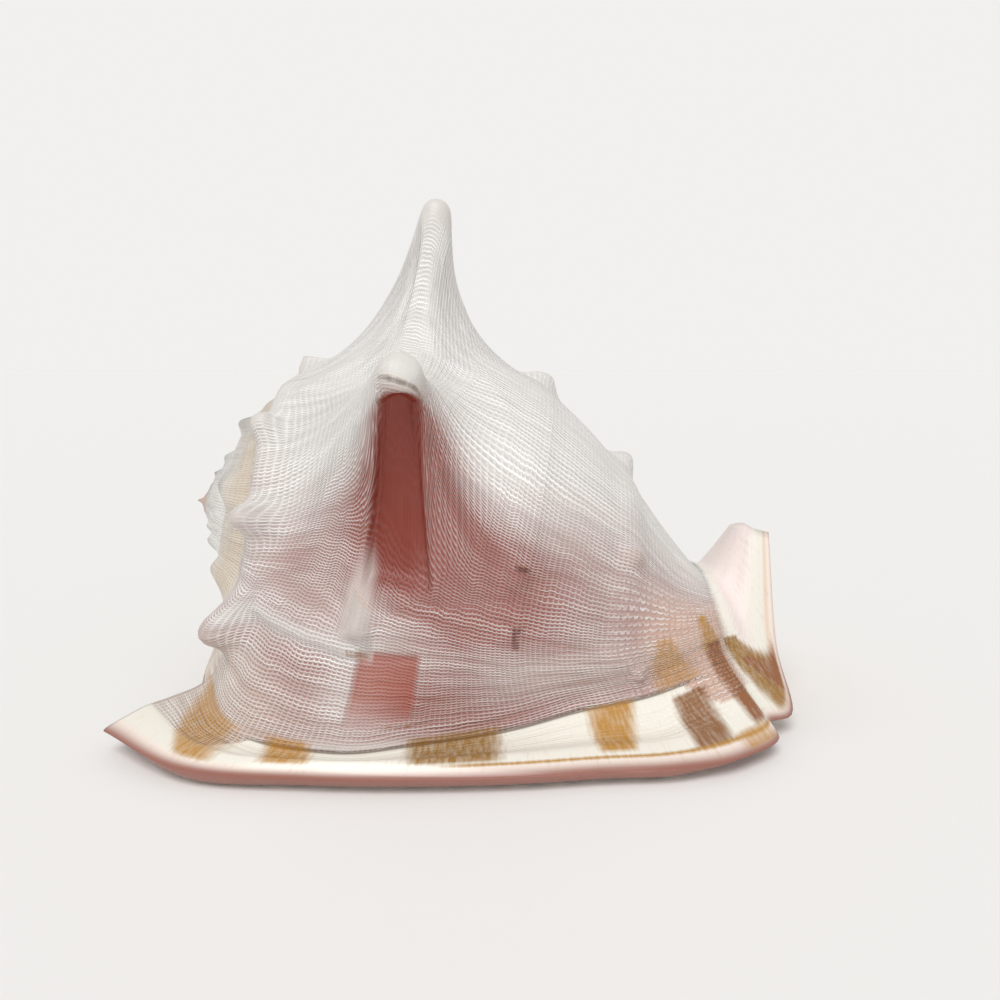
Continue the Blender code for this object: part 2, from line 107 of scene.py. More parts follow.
# %% Lamp and the light from all round
LAMPS = (("broad_lamp", (-0.12, -0.48, 0.87), 1.65), ("front_fill", (0.15, -0.95, 0.1), 0.55))
LAMP_ANGLE = 38
GLOW_COLOUR, GLOW_STRENGTH, SEEN_STRENGTH = "F2F1F0", 0.57, 1.0
for lamp_name, lamp_from, energy in LAMPS:
    lamp_from = Vector(lamp_from)
    bpy.ops.object.light_add(type="SUN", location=lamp_from)
    lamp = bpy.context.object
    lamp.name = lamp_name
    lamp.data.energy = energy
    lamp.data.angle = np.radians(LAMP_ANGLE)
    lamp.rotation_euler = (-lamp_from).to_track_quat("-Z", "Y").to_euler()

world = bpy.data.worlds.new("studio_air")
bpy.context.scene.world = world
world.use_nodes = True
air = world.node_tree
air.nodes.clear()
rays = add_node(air, "ShaderNodeLightPath")
seen = add_node(air, "ShaderNodeMath", {"operation": "MAXIMUM"},
                {0: rays.outputs["Is Camera Ray"], 1: rays.outputs["Is Glossy Ray"]})
glow, backdrop = (
    add_node(air, "ShaderNodeBackground", {"Color": (*linear(of_it), 1), "Strength": strength})
    for of_it, strength in ((GLOW_COLOUR, GLOW_STRENGTH), (FLOOR_COLOUR, SEEN_STRENGTH)))
both = add_node(air, "ShaderNodeMixShader", {}, {0: seen.outputs[0], 1: glow.outputs[0],
                                                2: backdrop.outputs[0]})
add_node(air, "ShaderNodeOutputWorld", {}, {"Surface": both.outputs[0]})
bpy.context.scene.view_settings.view_transform = "Standard"
print("lamps:", len(LAMPS))

# %% [markdown]
# ## Two directions on the shell
# A snail's shell is a tube that widens as it turns about an axis. The axis here runs from
# the spire to the canal. Angles about it are 0 on the lip's side, 90 on top and 180
# behind, and the shell grew towards smaller angles. One coordinate, across, follows the
# angle; the other, along, follows the lip from the spire end to the tip of the canal.
#
# Curves through a few known points could be drawn as Bezier or NURBS objects. A small
# Hermite spline in code is used instead, because it blends whole sections at once.

# %% Axis, and the curve that blends sections
MM = 0.001
AXIS_START = np.array((-151.0, 15.0, 83.0))
AXIS_END = np.array((115.0, 5.0, 25.0))
SPIRE_TIP = np.array((-158.0, 26.0, 80.5))
AXIS = (AXIS_END - AXIS_START) / np.linalg.norm(AXIS_END - AXIS_START)
SIDE = np.cross((0.0, 0.0, 1.0), AXIS)
SIDE = -SIDE / np.linalg.norm(SIDE)
RISE = np.cross(AXIS, -SIDE)


def spline(knots, values, at):
    """Values between knots, along a curve with continuous slopes."""
    knots, values, at = (np.asarray(item, float) for item in (knots, values, at))
    slopes = np.gradient(values, knots, axis=0)
    low = np.clip(np.searchsorted(knots, at, side="right") - 1, 0, len(knots) - 2)
    span = (knots[low + 1] - knots[low]).reshape((-1,) + (1,) * (values.ndim - 1))
    t = (at - knots[low]).reshape(span.shape) / span
    return ((2 * t ** 3 - 3 * t ** 2 + 1) * values[low]
            + (t ** 3 - 2 * t ** 2 + t) * span * slopes[low]
            + (3 * t ** 2 - 2 * t ** 3) * values[low + 1]
            + (t ** 3 - t ** 2) * span * slopes[low + 1])


def bell(x):
    """1 at 0, falling smoothly to 0 at -1 and 1."""
    return (1 - np.clip(x, -1, 1) ** 2) ** 2


def ease(x):
    """0 up to 0 and 1 from 1, with a smooth climb between."""
    x = np.clip(x, 0, 1)
    return x * x * (3 - 2 * x)


def outward(angle):
    angle = np.radians(angle)
    return np.cos(angle) * SIDE + np.sin(angle) * RISE


def on_whorl(distance, radius, angle):
    return AXIS_START + distance * AXIS + radius * outward(angle)


print("axis direction:", np.round(AXIS, 3))

# %% [markdown]
# ## Sections of the last whorl
# Each section is one growth edge: the rolled lip with its banded strip, the foot of the
# body, the round whorl, and the shield behind. Below it come the lip's underside, the
# chamber that held the animal, the columella and the shield's underside. Lengths are in
# millimetres until the mesh is made.

# %% Places across the section and the whorl's sections
U_LIP_TOP, U_STRIP, U_FOOT = 0.035, 0.065, 0.10
U_ANGLE_0, U_PER_DEGREE = 0.20, 0.003
U_FAR_FOOT, U_SHIELD, U_FAR_LIP = 0.82, 0.88, 0.955
ARC_ANGLES = (0, 30, 60, 90, 120, 150, 180)
OUTER_KNOTS = (0, U_LIP_TOP, U_STRIP, U_FOOT,
               *(U_ANGLE_0 + U_PER_DEGREE * angle for angle in ARC_ANGLES),
               U_FAR_FOOT, U_SHIELD, U_FAR_LIP, 1)
V_HORNS, V_KNOBS, V_LOW_KNOBS = 0.25, 0.50, 0.67
WHORL_SECTIONS = (
    # along; lip rim; body's foot; whorl at 0, 90, 180 degrees as (distance, radius);
    # shield rim; chamber as (sweep, wall, width, lip's width, opening)
    (0.00, (-157, -88, 8), (-128, -58, 16), (47, 73), (36, 74), (30, 62), (-109, 80), None),
    (0.12, (-120, -111, 5.5), (-107, -94, 13), (75, 93), (64, 92), (55, 78), (-87, 102),
     (45, 15, 20, 22, 25)),
    (0.26, (-70, -118, 5), (-62, -107.5, 10), (107, 105), (93, 100.5), (84, 88), (-54, 114),
     (70, 9, 28, 22, 31)),
    (0.38, (-32, -119, 5), (-30, -104, 11.5), (134, 108), (126, 101.5), (114, 90), (-18, 116),
     (78, 10, 32, 24, 32)),
    (0.50, (8, -117, 5), (6, -95.5, 13.5), (161, 106), (155, 93), (144, 86), (20, 112),
     (74, 10, 30, 28, 29)),
    (0.59, (38, -113.5, 5), (33, -89, 18), (186, 98), (181, 78), (172, 74), (50, 100),
     (62, 11, 27, 32, 26)),
    (0.67, (66, -111, 5), (57, -83.5, 20.5), (208, 86), (202, 61.5), (196, 59), (73, 84),
     (55, 10, 23, 34, 23)),
)
LIP_RISE = 5.0
LIP_UNDERSIDE = ((3.0, 0.8), (10.0, 0.0))
LIP_EDGE_Z, COLUMELLA_Z = 4.0, 6.0
SHIELD_EDGE = ((5, -17, 25), (4, -12, 17), (2, -6, 12), (0, 0, 7))
SHIELD_UNDERSIDE = (3.0, -0.2, 0.0)
POSTERIOR_Z = 9.0
POSTERIOR_PLACES = (0, 0.15, 0.22, 0.27, 0.31, 0.35, 0.39, 0.45, 0.6, 0.8, 1)
print("whorl sections:", len(WHORL_SECTIONS))

# %% Points of a whorl section
def by_angle(values, angle):
    """A size at an angle, from its values at 0, 90 and 180 degrees."""
    near, top, far = values
    return (near * (angle - 90) * (angle - 180) / 16200 - top * angle * (angle - 180) / 8100
            + far * angle * (angle - 90) / 16200)


def whorl_outer(rim, foot, near, top, far, shield):
    """Outer points of a whorl section, from the lip's rim to the shield's rim."""
    rim, foot = np.array(rim, float), np.array(foot, float)
    lip_top = rim + 0.35 * (foot - rim)
    lip_top[2] = rim[2] + LIP_RISE
    strip = rim + 0.65 * (foot - rim)
    strip[2] = lip_top[2] + 0.25 * (foot[2] - lip_top[2])
    distances, radii = zip(near, top, far)
    arc = [on_whorl(by_angle(distances, a), by_angle(radii, a), a) for a in ARC_ANGLES]
    edge = [(shield[0] + x, shield[1] + y, z) for x, y, z in SHIELD_EDGE]
    return np.array([rim, lip_top, strip, foot, *arc, *edge])


def whorl_inner(outer, near, top, far, chamber):
    """Points under a whorl section: lip, chamber, columella and shield."""
    rim, far_rim = outer[0], outer[-1]
    sweep, wall, width, lip_width, gap = chamber
    underside = (*LIP_UNDERSIDE, (lip_width, LIP_EDGE_Z))
    lip = [(rim[0] + 0.3 * y, rim[1] + y, z) for y, z in underside]
    distances, radii = zip(near, top, far)
    turns = (0, sweep / 2, sweep)
    roof = [on_whorl(by_angle(distances, a), by_angle(radii, a) - wall, a) for a in turns]
    core = [on_whorl(by_angle(distances, a), by_angle(radii, a) - wall - width, a)
            for a in turns[::-1]]
    columella = np.array((rim[0] + 4, lip[-1][1] + gap, COLUMELLA_Z))
    shield = [columella + (far_rim - columella) * part for part in (0.35, 0.7, 0.95)]
    for point, height in zip(shield, SHIELD_UNDERSIDE):
        point[2] = height
    return np.array([rim, *lip, *roof, *core, columella, *shield, far_rim])


def spire_underside(outer):
    """The thin posterior edge: its underside follows the flange, then runs level."""
    near, far = outer[3] + (-1, -3, 0), outer[-4] + (-3, -6, 0)
    level = near + np.array(POSTERIOR_PLACES)[:, None] * (far - near)
    level[:, 2] = POSTERIOR_Z
    under = outer.copy()
    under[1:3, 2] -= (7.0, 6.5)
    under[3:3 + len(level)] = level
    return under


print("points over a section:", len(OUTER_KNOTS))

# %% [markdown]
# ## Sections of the siphonal canal
# At the front the shell narrows into a half-open pipe that bends up and back: the canal,
# through which the animal breathed. Its sections no longer look like the whorl's, so they
# are given as plain points, outside and inside.

# %% Canal sections and the whole control net
CANAL_OUTER_KNOTS = (0, U_FOOT, 0.20, 0.38, 0.56, 0.74, U_SHIELD, 1)
CANAL_INNER_KNOTS = (0, 0.065, *CANAL_OUTER_KNOTS[2:])
OVERLAP = 3
CANAL_SECTIONS = (
    (0.76, ((94, -102, 5), (78, -77, 25), (77, -69, 40), (80, -22, 70), (81, 30, 65), (79, 53, 36),
            (84, 57, 16), (93, 64, 7)),
     ((88, -89, 1), (82, -71, 17), (83, -52, 30), (84, -44, 20), (82, -60, 5), (89, 26, 1))),
    (0.82, ((111, -87.5, 5.5), (95, -70, 28), (92, -60, 41), (93, -24, 56), (94, 18, 49),
            (93, 34, 30), (97, 38, 15), (105, 45, 8)),
     ((105, -79, 3), (98, -64, 17), (98, -44, 28), (99, -38, 19), (100, -52, 5), (102, 14, 2))),
    (0.85, ((110.5, -79, 7.5), (98, -66, 28), (95, -58, 41), (94.5, -25, 56), (96, 14, 50),
            (96, 29, 31), (101, 33, 17), (111, 39, 11)),
     ((107, -72, 5), (101, -60, 18), (100, -42, 30), (102, -35, 21), (104, -47, 5),
      (106, 13, 3))),
    (0.88, ((122, -71, 6.5), (106, -62, 28), (100, -55, 42), (97, -26, 57), (99, 10, 50),
            (100, 25, 32), (106, 29, 18), (116, 32, 13)),
     ((119, -62, 9), (110, -53, 24), (105, -34, 37), (109, -24, 26), (112, -34, 8),
      (113, 10, 5))),
    (0.94, ((121.5, -50.5, 31), (110, -48, 44), (105, -42, 51), (101, -24, 61), (103, 2, 57),
            (108, 14, 45), (114, 17, 35), (121, 18, 30)),
     ((120, -45, 35), (112, -40, 45), (108, -24, 52), (111, -6, 47), (115, 2, 37),
      (119, 7, 28))),
    (1.00, ((123, -29, 75.5), (116, -28, 77.5), (113, -25, 79), (110, -17, 77), (111.5, -8, 74.5),
            (115, -1, 70), (119, 3, 66), (122, 6, 62)),
     ((120, -27, 72), (116, -22, 74), (114, -16, 74), (115.5, -9, 71.5), (118, -3, 67.5),
      (120.5, 1, 64))),
)


def control_net():
    """Station places, and a closed loop of points for each section."""
    loops = []
    for _, rim, foot, near, top, far, shield, chamber in WHORL_SECTIONS:
        outer = whorl_outer(rim, foot, near, top, far, shield)
        inner = whorl_inner(outer, near, top, far, chamber) if chamber else spire_underside(outer)
        loops.append(np.concatenate([outer, inner[-2::-1]]))
    for _, outer, inner in CANAL_SECTIONS:
        inner = spline(CANAL_INNER_KNOTS, (outer[0], *inner, outer[-1]), OUTER_KNOTS)
        outer = spline(CANAL_OUTER_KNOTS, outer, OUTER_KNOTS)
        loops.append(np.concatenate([outer, inner[-2::-1]]))
    return [section[0] for section in WHORL_SECTIONS + CANAL_SECTIONS], np.array(loops)


def sheets(across, along):
    """The upper and the lower sheet at the grid's places, before horns and knobs."""
    stations, loops = control_net()
    around = np.array(OUTER_KNOTS)
    around = np.concatenate([around, 2 - around[-2::-1]])
    points = np.swapaxes(spline(stations, loops, along), 0, 1)
    # The loop's first and last points are laid again beyond its ends, so that it closes.
    before, after = slice(-1 - OVERLAP, -1), slice(1, 1 + OVERLAP)
    around = np.concatenate([around[before] - 2, around, around[after] + 2])
    points = np.concatenate([points[before], points, points[after]])
    return spline(around, points, across), spline(around, points, 2 - across)


print("sections in all:", len(WHORL_SECTIONS + CANAL_SECTIONS))

# %% [markdown]
# ## How fine the grid is
# The surface is drawn by two sheets on the same grid of places, an upper and a lower one,
# and a cap of rings for the spire. Lines stand about 1.3 mm apart on the lip's side, which
# is enough for knobs and folds, and farther apart behind. Finer relief, such as the
# growth lines, is left to the material.

# %% Places of the grid's lines
STEP_GAP = 0.0008
U_TOP_END, U_FAR_END = 0.60, 0.74
LOWER_STEP = 4
across = np.concatenate([
    np.linspace(0, U_FOOT - 3 * STEP_GAP, 28), (U_FOOT - STEP_GAP, U_FOOT + STEP_GAP),
    np.linspace(U_FOOT + 3 * STEP_GAP, U_ANGLE_0, 42),
    np.linspace(U_ANGLE_0, U_TOP_END, 191)[1:], np.linspace(U_TOP_END, U_FAR_END, 34)[1:],
    np.linspace(U_FAR_END, 1, 51)[1:]])
along = np.concatenate([np.linspace(0, 0.67, 150), np.linspace(0.67, 0.86, 34)[1:],
                        np.linspace(0.86, 1, 21)[1:]])
first_row = int(np.searchsorted(across, U_FOOT))
last_row = int(np.searchsorted(across, U_FAR_FOOT))
last = len(across) - 1
lower_rows = sorted({*range(0, first_row, LOWER_STEP), *range(first_row, last_row, LOWER_STEP),
                     *range(last_row, last, LOWER_STEP), last})
plain, lower = sheets(across, along)
row_at = across[:, None]
angle = (row_at - U_ANGLE_0) / U_PER_DEGREE
place = along[None, :]
print("grid lines:", len(across), "across,", len(along), "along,", len(lower_rows), "below")

# %% [markdown]
# ## Horns and knobs
# Where the growing edge swelled, the surface was drawn out into a horn, and the growth
# lines climb it. Pulling a few vertices up with proportional editing would stretch the
# faces and lose those lines. This lift moves each point to its share of the horn's own
# outline instead, so that the grid climbs the horn as the growth lines do.

# %% Horns, and the sheet's normals
HORNS = (
    # angle, tip, half width at the foot, thickness near the tip, how far the front runs out
    (92, (-29.5, 15, 229.5), 63, 1.08, 1.0),
    (41, (-35, -94, 152), 50, 1.15, 1.5),
    (150, (-48, 118, 122), 44, 0.9, 1.0),
    (197, (-58, 122, 40), 30, 0.9, 1.0),
)
HORN_SHAPE = np.array(((0, 0), (3.2, 0.8), (5.6, 3.5), (7, 8), (8, 14), (9.6, 22), (12.6, 33),
                       (18, 44), (26, 54), (38, 62), (52, 66.5), (66, 68)), float)
HORN_REACH = 55.0


def normals(sheet):
    """Normals of a sheet: outward on the upper one, and into the wall on the lower one."""
    facing = np.cross(np.gradient(sheet, axis=1), np.gradient(sheet, axis=0))
    length = np.linalg.norm(facing, axis=-1, keepdims=True)
    return facing / np.maximum(length, 1e-9)


def grid_point(sheet, at_angle, at_place):
    """The sheet's own grid point nearest to an angle and a place along the shell."""
    row = np.abs(across - (U_ANGLE_0 + U_PER_DEGREE * at_angle)).argmin()
    return sheet[row, np.abs(along - at_place).argmin()]


print("horns:", len(HORNS))

# %% Lifting a place of the sheet
def lift(sheet, base, tip, outline, run_out=1.0):
    """Draws the sheet up from base to tip; outline lists half widths and depths from the tip."""
    up = tip - base
    height = np.linalg.norm(up)
    up = up / height
    canalwards = AXIS - (AXIS @ up) * up
    canalwards = canalwards / np.linalg.norm(canalwards)
    back = np.cross(up, canalwards)
    offset = sheet - base
    level, x, y = offset @ up, offset @ canalwards, offset @ back
    stretch = np.where(y < 0, run_out, 1.0)
    reach = np.hypot(x, y / stretch)
    widest = outline[-1, 0]
    run = np.concatenate([[0], np.cumsum(np.hypot(*np.diff(outline, axis=0).T))])
    fine = spline(run, outline, np.linspace(0, run[-1], 300))
    run = np.concatenate([[0], np.cumsum(np.hypot(*np.diff(fine, axis=0).T))])
    share = np.clip(reach / widest, 0, 1) * run[-1]
    half_width = np.interp(share, run, fine[:, 0])
    rise = height * (1 - np.interp(share, run, fine[:, 1]) / outline[-1, 1])
    climb = np.clip(rise / height, 0, 1)
    spread = half_width / np.maximum(reach, 1e-6)
    shrink = (1 + (stretch - 1) * (1 - climb)) / stretch
    moved = (sheet + up * (rise - level * climb ** 2)[..., None]
             + canalwards * (x * (spread - 1))[..., None]
             + back * (y * (spread * shrink - 1))[..., None])
    inside = (reach < widest) & (level > -HORN_REACH)
    return np.where(inside[..., None], moved, sheet)


def horn_outline(width, thickness):
    """Half widths and depths of a horn, from its foot's half width and its thickness."""
    outline = HORN_SHAPE.copy()
    depth = outline[:, 1] / outline[-1, 1]
    outline[:, 0] *= thickness + (width / outline[-1, 0] - thickness) * depth ** 2
    return outline


print("horn outline points:", len(HORN_SHAPE))

# %% [markdown]
# Three spiral rows carry knobs: one along the edge of the spire, one across the middle of
# the whorl and one near the canal. A low keel joins the knobs of a row, and two fainter
# ones run between the rows. Below the horn over the lip the edge left two smooth hollows
# with crisp sides: the deep gutter, and under the rib a shallow one.

# %% Keels, horns, knobs and hollows
# Keels: place along the shell, half width, height.
KEELS = ((0.02, 0.02, 1.0), (V_KNOBS, 0.04, 0.8), (V_LOW_KNOBS, 0.035, 1.4),
         (0.372, 0.006, 0.5), (0.513, 0.006, 0.5))
KNOB_SHAPE = np.array(((0, 0), (0.16, 0.05), (0.3, 0.2), (0.42, 0.45), (0.56, 0.72),
                       (0.75, 0.93), (1, 1)), float)
KNOBS = (
    # angle, place along the shell, height, radius, lean to the canal, turn
    (89, 0, 7.5, 15, -0.35, 5), (42, 0.015, 8, 12, -0.8, 0), (11, 0.02, 11, 13, -1, -6),
    (-13, 0.03, 18, 18, -1, -35), (128, 0, 5, 14, -0.5, 0), (165, 0, 5, 14, -0.5, 0),
    (-5, V_HORNS, 3.5, 14, 0, -20),
    (165, V_KNOBS, 5, 16, 0, 0), (128, V_KNOBS, 6, 17, 0, 0), (90, V_KNOBS, 6, 16, 0.1, 0),
    (14, V_KNOBS, 1.5, 9, 0, 0), (0, V_KNOBS, 1.2, 8, 0, 0),
    (128, V_LOW_KNOBS, 6, 14, 0, 0), (90, V_LOW_KNOBS, 8, 14, 0.15, -12),
    (27, V_LOW_KNOBS, 3.5, 10, 0, 0), (-21, 0.681, 2.5, 5, 0, 0),
)
HOLLOWS = (
    # from angle and place, to angle and place, half width, depth, crispness of the sides,
    # and how much the ends lean, in degrees over the whole length of the shell
    ((37, 0.262), (2.5, 0.306), 0.062, 4.5, 6, 54),
    ((-7, 0.311), (-25, 0.311), 0.056, 1.5, 5, 10),
)
V_STEP = (0.13, 0.18, 0.74, 0.80)
STEP_DROP = 2.0
RIB_ANGLE, RIB_HEIGHT, RIB_ENDS, RIB_FADE = -9.5, 3.2, (0.04, 0.285), 0.03
print("keels:", len(KEELS), " knobs:", len(KNOBS), " hollows:", len(HOLLOWS))

# %% Raising them, and sinking the hollows
on_body = ease((row_at - U_FOOT - 0.03) / 0.06)
raised = sum(height * bell((place - v) / half) for v, half, height in KEELS)
on_rib = ease((place - RIB_ENDS[0]) / RIB_FADE) * ease((RIB_ENDS[1] - place) / RIB_FADE)
rib = bell((angle - RIB_ANGLE - 2) / 6) * ease((angle - RIB_ANGLE + 0.9) / 1.8) * on_rib
upper = plain + normals(plain) * (raised * on_body + RIB_HEIGHT * rib)[..., None]
for at_angle, tip, width, thickness, run_out in HORNS:
    base = grid_point(upper, at_angle, V_HORNS)
    upper = lift(upper, base, np.array(tip, float), horn_outline(width, thickness), run_out)
for at_angle, at_place, height, radius, lean, turn in KNOBS:
    base = grid_point(upper, at_angle, at_place)
    way = outward(at_angle + turn) + lean * AXIS
    tip = base + height * way / np.linalg.norm(way)
    upper = lift(upper, base, tip, KNOB_SHAPE * (radius, height))

floors, sides = [], []
for (angle_a, place_a), (angle_b, place_b), half, depth, crisp, lean in HOLLOWS:
    part = (angle_a - angle + lean * (place - place_b)) / (angle_a - angle_b)
    middle = place_a + (place_b - place_a) * np.clip(part, 0, 1)
    floor_of_it = ease((1 - np.abs(place - middle) / half) * crisp)
    floor_of_it = floor_of_it * ease(part * 14) * ease((1 - part) * 9)
    upper = upper - normals(upper) * (depth * floor_of_it)[..., None]
    floors.append(floor_of_it)
    sides.append(bell((place - middle) / (1.9 * half)) * ease(part * 8) * ease((1 - part) * 6))
(gutter, lower_hollow), (gutter_side, _) = floors, sides

in_strip = ease((row_at - U_LIP_TOP) / (U_STRIP - U_LIP_TOP)) * (row_at < U_FOOT)
start, full, fading, end = V_STEP
along_step = ease((place - start) / (full - start)) * ease((end - place) / (end - fading))
upper = upper - normals(upper) * (STEP_DROP * in_strip * along_step)[..., None]
upper[0], upper[-1] = lower[0], lower[-1]
print("tallest point, mm:", upper[..., 2].max().round(1))

# %% [markdown]
# ## The opening
# Under the lip stand low teeth, one for each swelling of the edge, and folds on the
# columella face them.

# %% Teeth and folds
TOOTH_PITCH, TOOTH_HEIGHT, FOLD_HEIGHT = 14.5, 1.8, 1.2
TEETH_FROM, TEETH_TO = -113.0, 90.0
U_TEETH, U_FOLDS, TEETH_WIDTH = 0.09, 0.74, 0.05
lip_x = lower[0, :, 0]
swelling = np.cos(2 * np.pi * (lip_x - TEETH_FROM) / TOOTH_PITCH)
beat = swelling * ease((lip_x - TEETH_FROM) / TOOTH_PITCH) * ease((TEETH_TO - lip_x) / TOOTH_PITCH)
teeth = TOOTH_HEIGHT * bell((row_at - U_TEETH) / TEETH_WIDTH)
folds = FOLD_HEIGHT * bell((row_at - U_FOLDS) / TEETH_WIDTH)
lower = lower - normals(lower) * ((teeth + folds) * beat)[..., None]
print("teeth:", int((TEETH_TO - TEETH_FROM) / TOOTH_PITCH))

# %% [markdown]
# ## The spire
# Behind the last whorl sit the older, smaller ones. They show as a low cone with a seam
# that winds in to the tip, and each turn keeps its own knobs. Rings are laid from the
# whorl's edge to the tip, and a point's distance from the tip says where on the winding it
# is. The whorl's edge has corners where it meets the floor, so the rings round them off.

# %% Rings of the spire
SPIRE_RINGS = 26
SEAM_GROWTH, SEAM_START_ANGLE, SEAM_START_RADIUS = 1.6, -35.0, 71.0
SPIRE_RELIEF = ((-0.6, 0), (-0.35, 0.9), (-0.12, -0.3), (-0.03, -0.8), (0, 0.2), (0.05, -0.6),
                (0.14, -1.2), (0.3, -0.6), (0.5, 0.2), (0.75, 0.3), (0.9, -0.4), (0.97, -0.8),
                (1.0, 0.2))
SPIRE_RELIEF_DEPTH = 0.055
SPIRE_KNOBS_PER_TURN, SPIRE_KNOB_HEIGHT, SPIRE_KNOB_PLACE = 10, 0.07, 0.13
UNDERCUT_MM, UNDERCUT_LIP_MM = 4.0, 1.2
ROUNDED_BY = 0.35


def evened(values, window=31):
    """A closed row of values, each averaged with its neighbours, twice over."""
    for _ in range(2):
        wrapped = np.concatenate([values[-window - 1:-1], values, values[1:window + 1]])
        values = np.convolve(wrapped, np.ones(window) / window, mode="same")[window:-window]
    return values


print("rings from rim to tip:", SPIRE_RINGS)

# %% Laying the rings
ring_rows = list(range(first_row, last_row + 1))
far_corner = min(lower_rows, key=lambda row: abs(across[row] - U_FAR_LIP))
ring_lower = [row for row in lower_rows if first_row <= row <= far_corner][::-1]
rim, level_rim = (np.concatenate([top[ring_rows, 0], lower[ring_lower, 0], top[ring_rows[:1], 0]])
                  for top in (upper, plain))
offset = level_rim - SPIRE_TIP
distance, x, y = offset @ AXIS, offset @ SIDE, offset @ RISE
radius = np.hypot(x, y)
turned = np.degrees(np.unwrap(np.arctan2(y, x)))
seam = SEAM_START_RADIUS * SEAM_GROWTH ** (-(turned - SEAM_START_ANGLE) / 360)
above = ease((np.sin(np.radians(turned)) + 0.55) / 0.4)
phases, relief = zip(*SPIRE_RELIEF)
straight, rounded = np.stack([distance, x, y]), np.stack([evened(v) for v in (distance, x, y)])
rings, ring_parts = [rim], [1.0]
for ring in range(1, SPIRE_RINGS):
    part = (1 - ring / SPIRE_RINGS) ** 1.1
    reach = radius * part
    distance, x, y = straight + (rounded - straight) * ease((1 - part) / ROUNDED_BY)
    turns = np.log(seam / reach) / np.log(SEAM_GROWTH)
    phase = np.where(turns < 0, turns, turns - np.floor(turns))
    form = np.interp(phase, phases, relief) * SPIRE_RELIEF_DEPTH
    beat = np.cos(np.radians((turned - 360 * np.floor(turns) - 95) * SPIRE_KNOBS_PER_TURN))
    knob = np.maximum(beat, 0) ** 1.5 * bell((phase - SPIRE_KNOB_PLACE) / 0.16)
    form = (form - SPIRE_KNOB_HEIGHT * knob) * reach * above * ease((1 - part) * 12)
    undercut = UNDERCUT_MM * ease((1 - part) * 5 - 0.8) - UNDERCUT_LIP_MM * bell((1 - part) / 0.16)
    undercut = undercut * (1 - above) * ease(part * 2.5) * ease((1 - part) * 30)
    inwards = distance * part ** (0.65 + 0.35 * above) + form + undercut
    blend = ease(1 - (1 - part) / 0.2)
    rings.append(SPIRE_TIP + inwards[:, None] * AXIS + (part * x)[:, None] * SIDE
                 + (part * y)[:, None] * RISE + (rim - level_rim) * blend)
    ring_parts.append(part)
rings.append(np.tile(SPIRE_TIP - 2 * AXIS, (len(rim), 1)))
ring_parts.append(0.0)
spire = np.array(rings)
print("spire rings:", len(spire), "of", len(rim), "points")

# %% [markdown]
# ## Colour and finish that follow the growth
# The colour of a shell is laid down with it: bars where the mantle's edge was pigmented,
# white chalk on the weathered body, cream enamel on the lip. Painting by hand in texture
# paint would need an image. Here every point of the grid gets its colour from its angle
# and its place, and the material adds what is finer than the grid. Some of that colour is
# painted light: the pinks and reds low on the body, in the hollows and on the rim are
# partly painted red reflection and shade, and dark lines under the step and the knob are
# painted shadow.

# %% Colours of the outside
CHALK, CREAM, BEIGE, ENAMEL = (linear(c) for c in ("DAD7D2", "EAE6DA", "C9B59C", "EEE0D5"))
OCHRE, OLIVE, UMBER, GREY_BROWN = (linear(c) for c in ("B5822F", "93681F", "8A5222", "86572B"))
RUSSET, FAN_BEIGE, DULL_CHALK, RUST = (linear(c) for c in ("632C25", "DDB094", "BDB4AE", "B98062"))
BLUSH_REFLECTION_AND_SHADE, GUTTER_ROSE_REFLECTION_AND_SHADE, LIP_ROSE_SHADE_AND_REFLECTION = (linear(c) for c in ("8C4235", "7C2B1A", "86412F"))
PAINTED_SHADOW_BROWN, BLADE, HOLLOW_ROSE_REFLECTION_AND_SHADE = (linear(c) for c in ("5A4030", "F0E2DD", "9C4630"))
# How much blush shows, part the shell's own pink and part painted red reflection and shade:
# one row for each angle round the whorl, one number for each place.
BLUSH_REFLECTION_AND_SHADE_PLACES = (0, 0.08, 0.15, 0.2, 0.24, 0.37, 0.43, 0.5, 0.6, 0.7, 0.8)
BLUSH_REFLECTION_AND_SHADE_BY_ANGLE = (
    (-60, (0.2, 0.2, 0.3, 0.3, 0.3, 0.3, 0.3, 0.3, 0.3, 0.3, 0.2)),
    (-30, (0.3, 0.4, 0.55, 0.55, 0.55, 0.65, 0.75, 0.75, 0.65, 0.5, 0.4)),
    (-16, (0.3, 0.4, 0.6, 0.6, 0.35, 0.8, 0.75, 0.6, 0.5, 0.45, 0.35)),
    (-8, (0.3, 0.4, 0.5, 0.45, 0.3, 0.6, 0.65, 0.5, 0.45, 0.4, 0.3)),
    (0, (0.25, 0.6, 0.65, 0.65, 0.6, 0.75, 0.9, 0.8, 0.6, 0.45, 0.35)),
    (8, (0.12, 0.4, 0.6, 0.8, 1, 1.15, 1.15, 0.95, 0.65, 0.5, 0.35)),
    (17, (0.08, 0.15, 0.3, 0.65, 1.1, 1.2, 1.1, 0.9, 0.6, 0.45, 0.35)),
    (24, (0.3, 0.05, 0.05, 0.35, 1, 1.1, 0.7, 0.5, 0.45, 0.45, 0.4)),
    (31, (0.2, 0, 0, 0.15, 0.8, 0.9, 0.2, 0.2, 0.25, 0.3, 0.3)),
    (38, (0.1, 0, 0, 0, 0.3, 0.4, 0, 0.05, 0.12, 0.2, 0.25)),
    (50, (0, 0, 0, 0, 0, 0, 0, 0, 0, 0, 0)),
)


def layered(colours, *layers):
    """Colours with others laid over them in turn, each by its own share."""
    for other, share in layers:
        colours = colours + (other - colours) * np.clip(share, 0, 1)[..., None]
    return colours


print("rows of blush:", len(BLUSH_REFLECTION_AND_SHADE_BY_ANGLE))
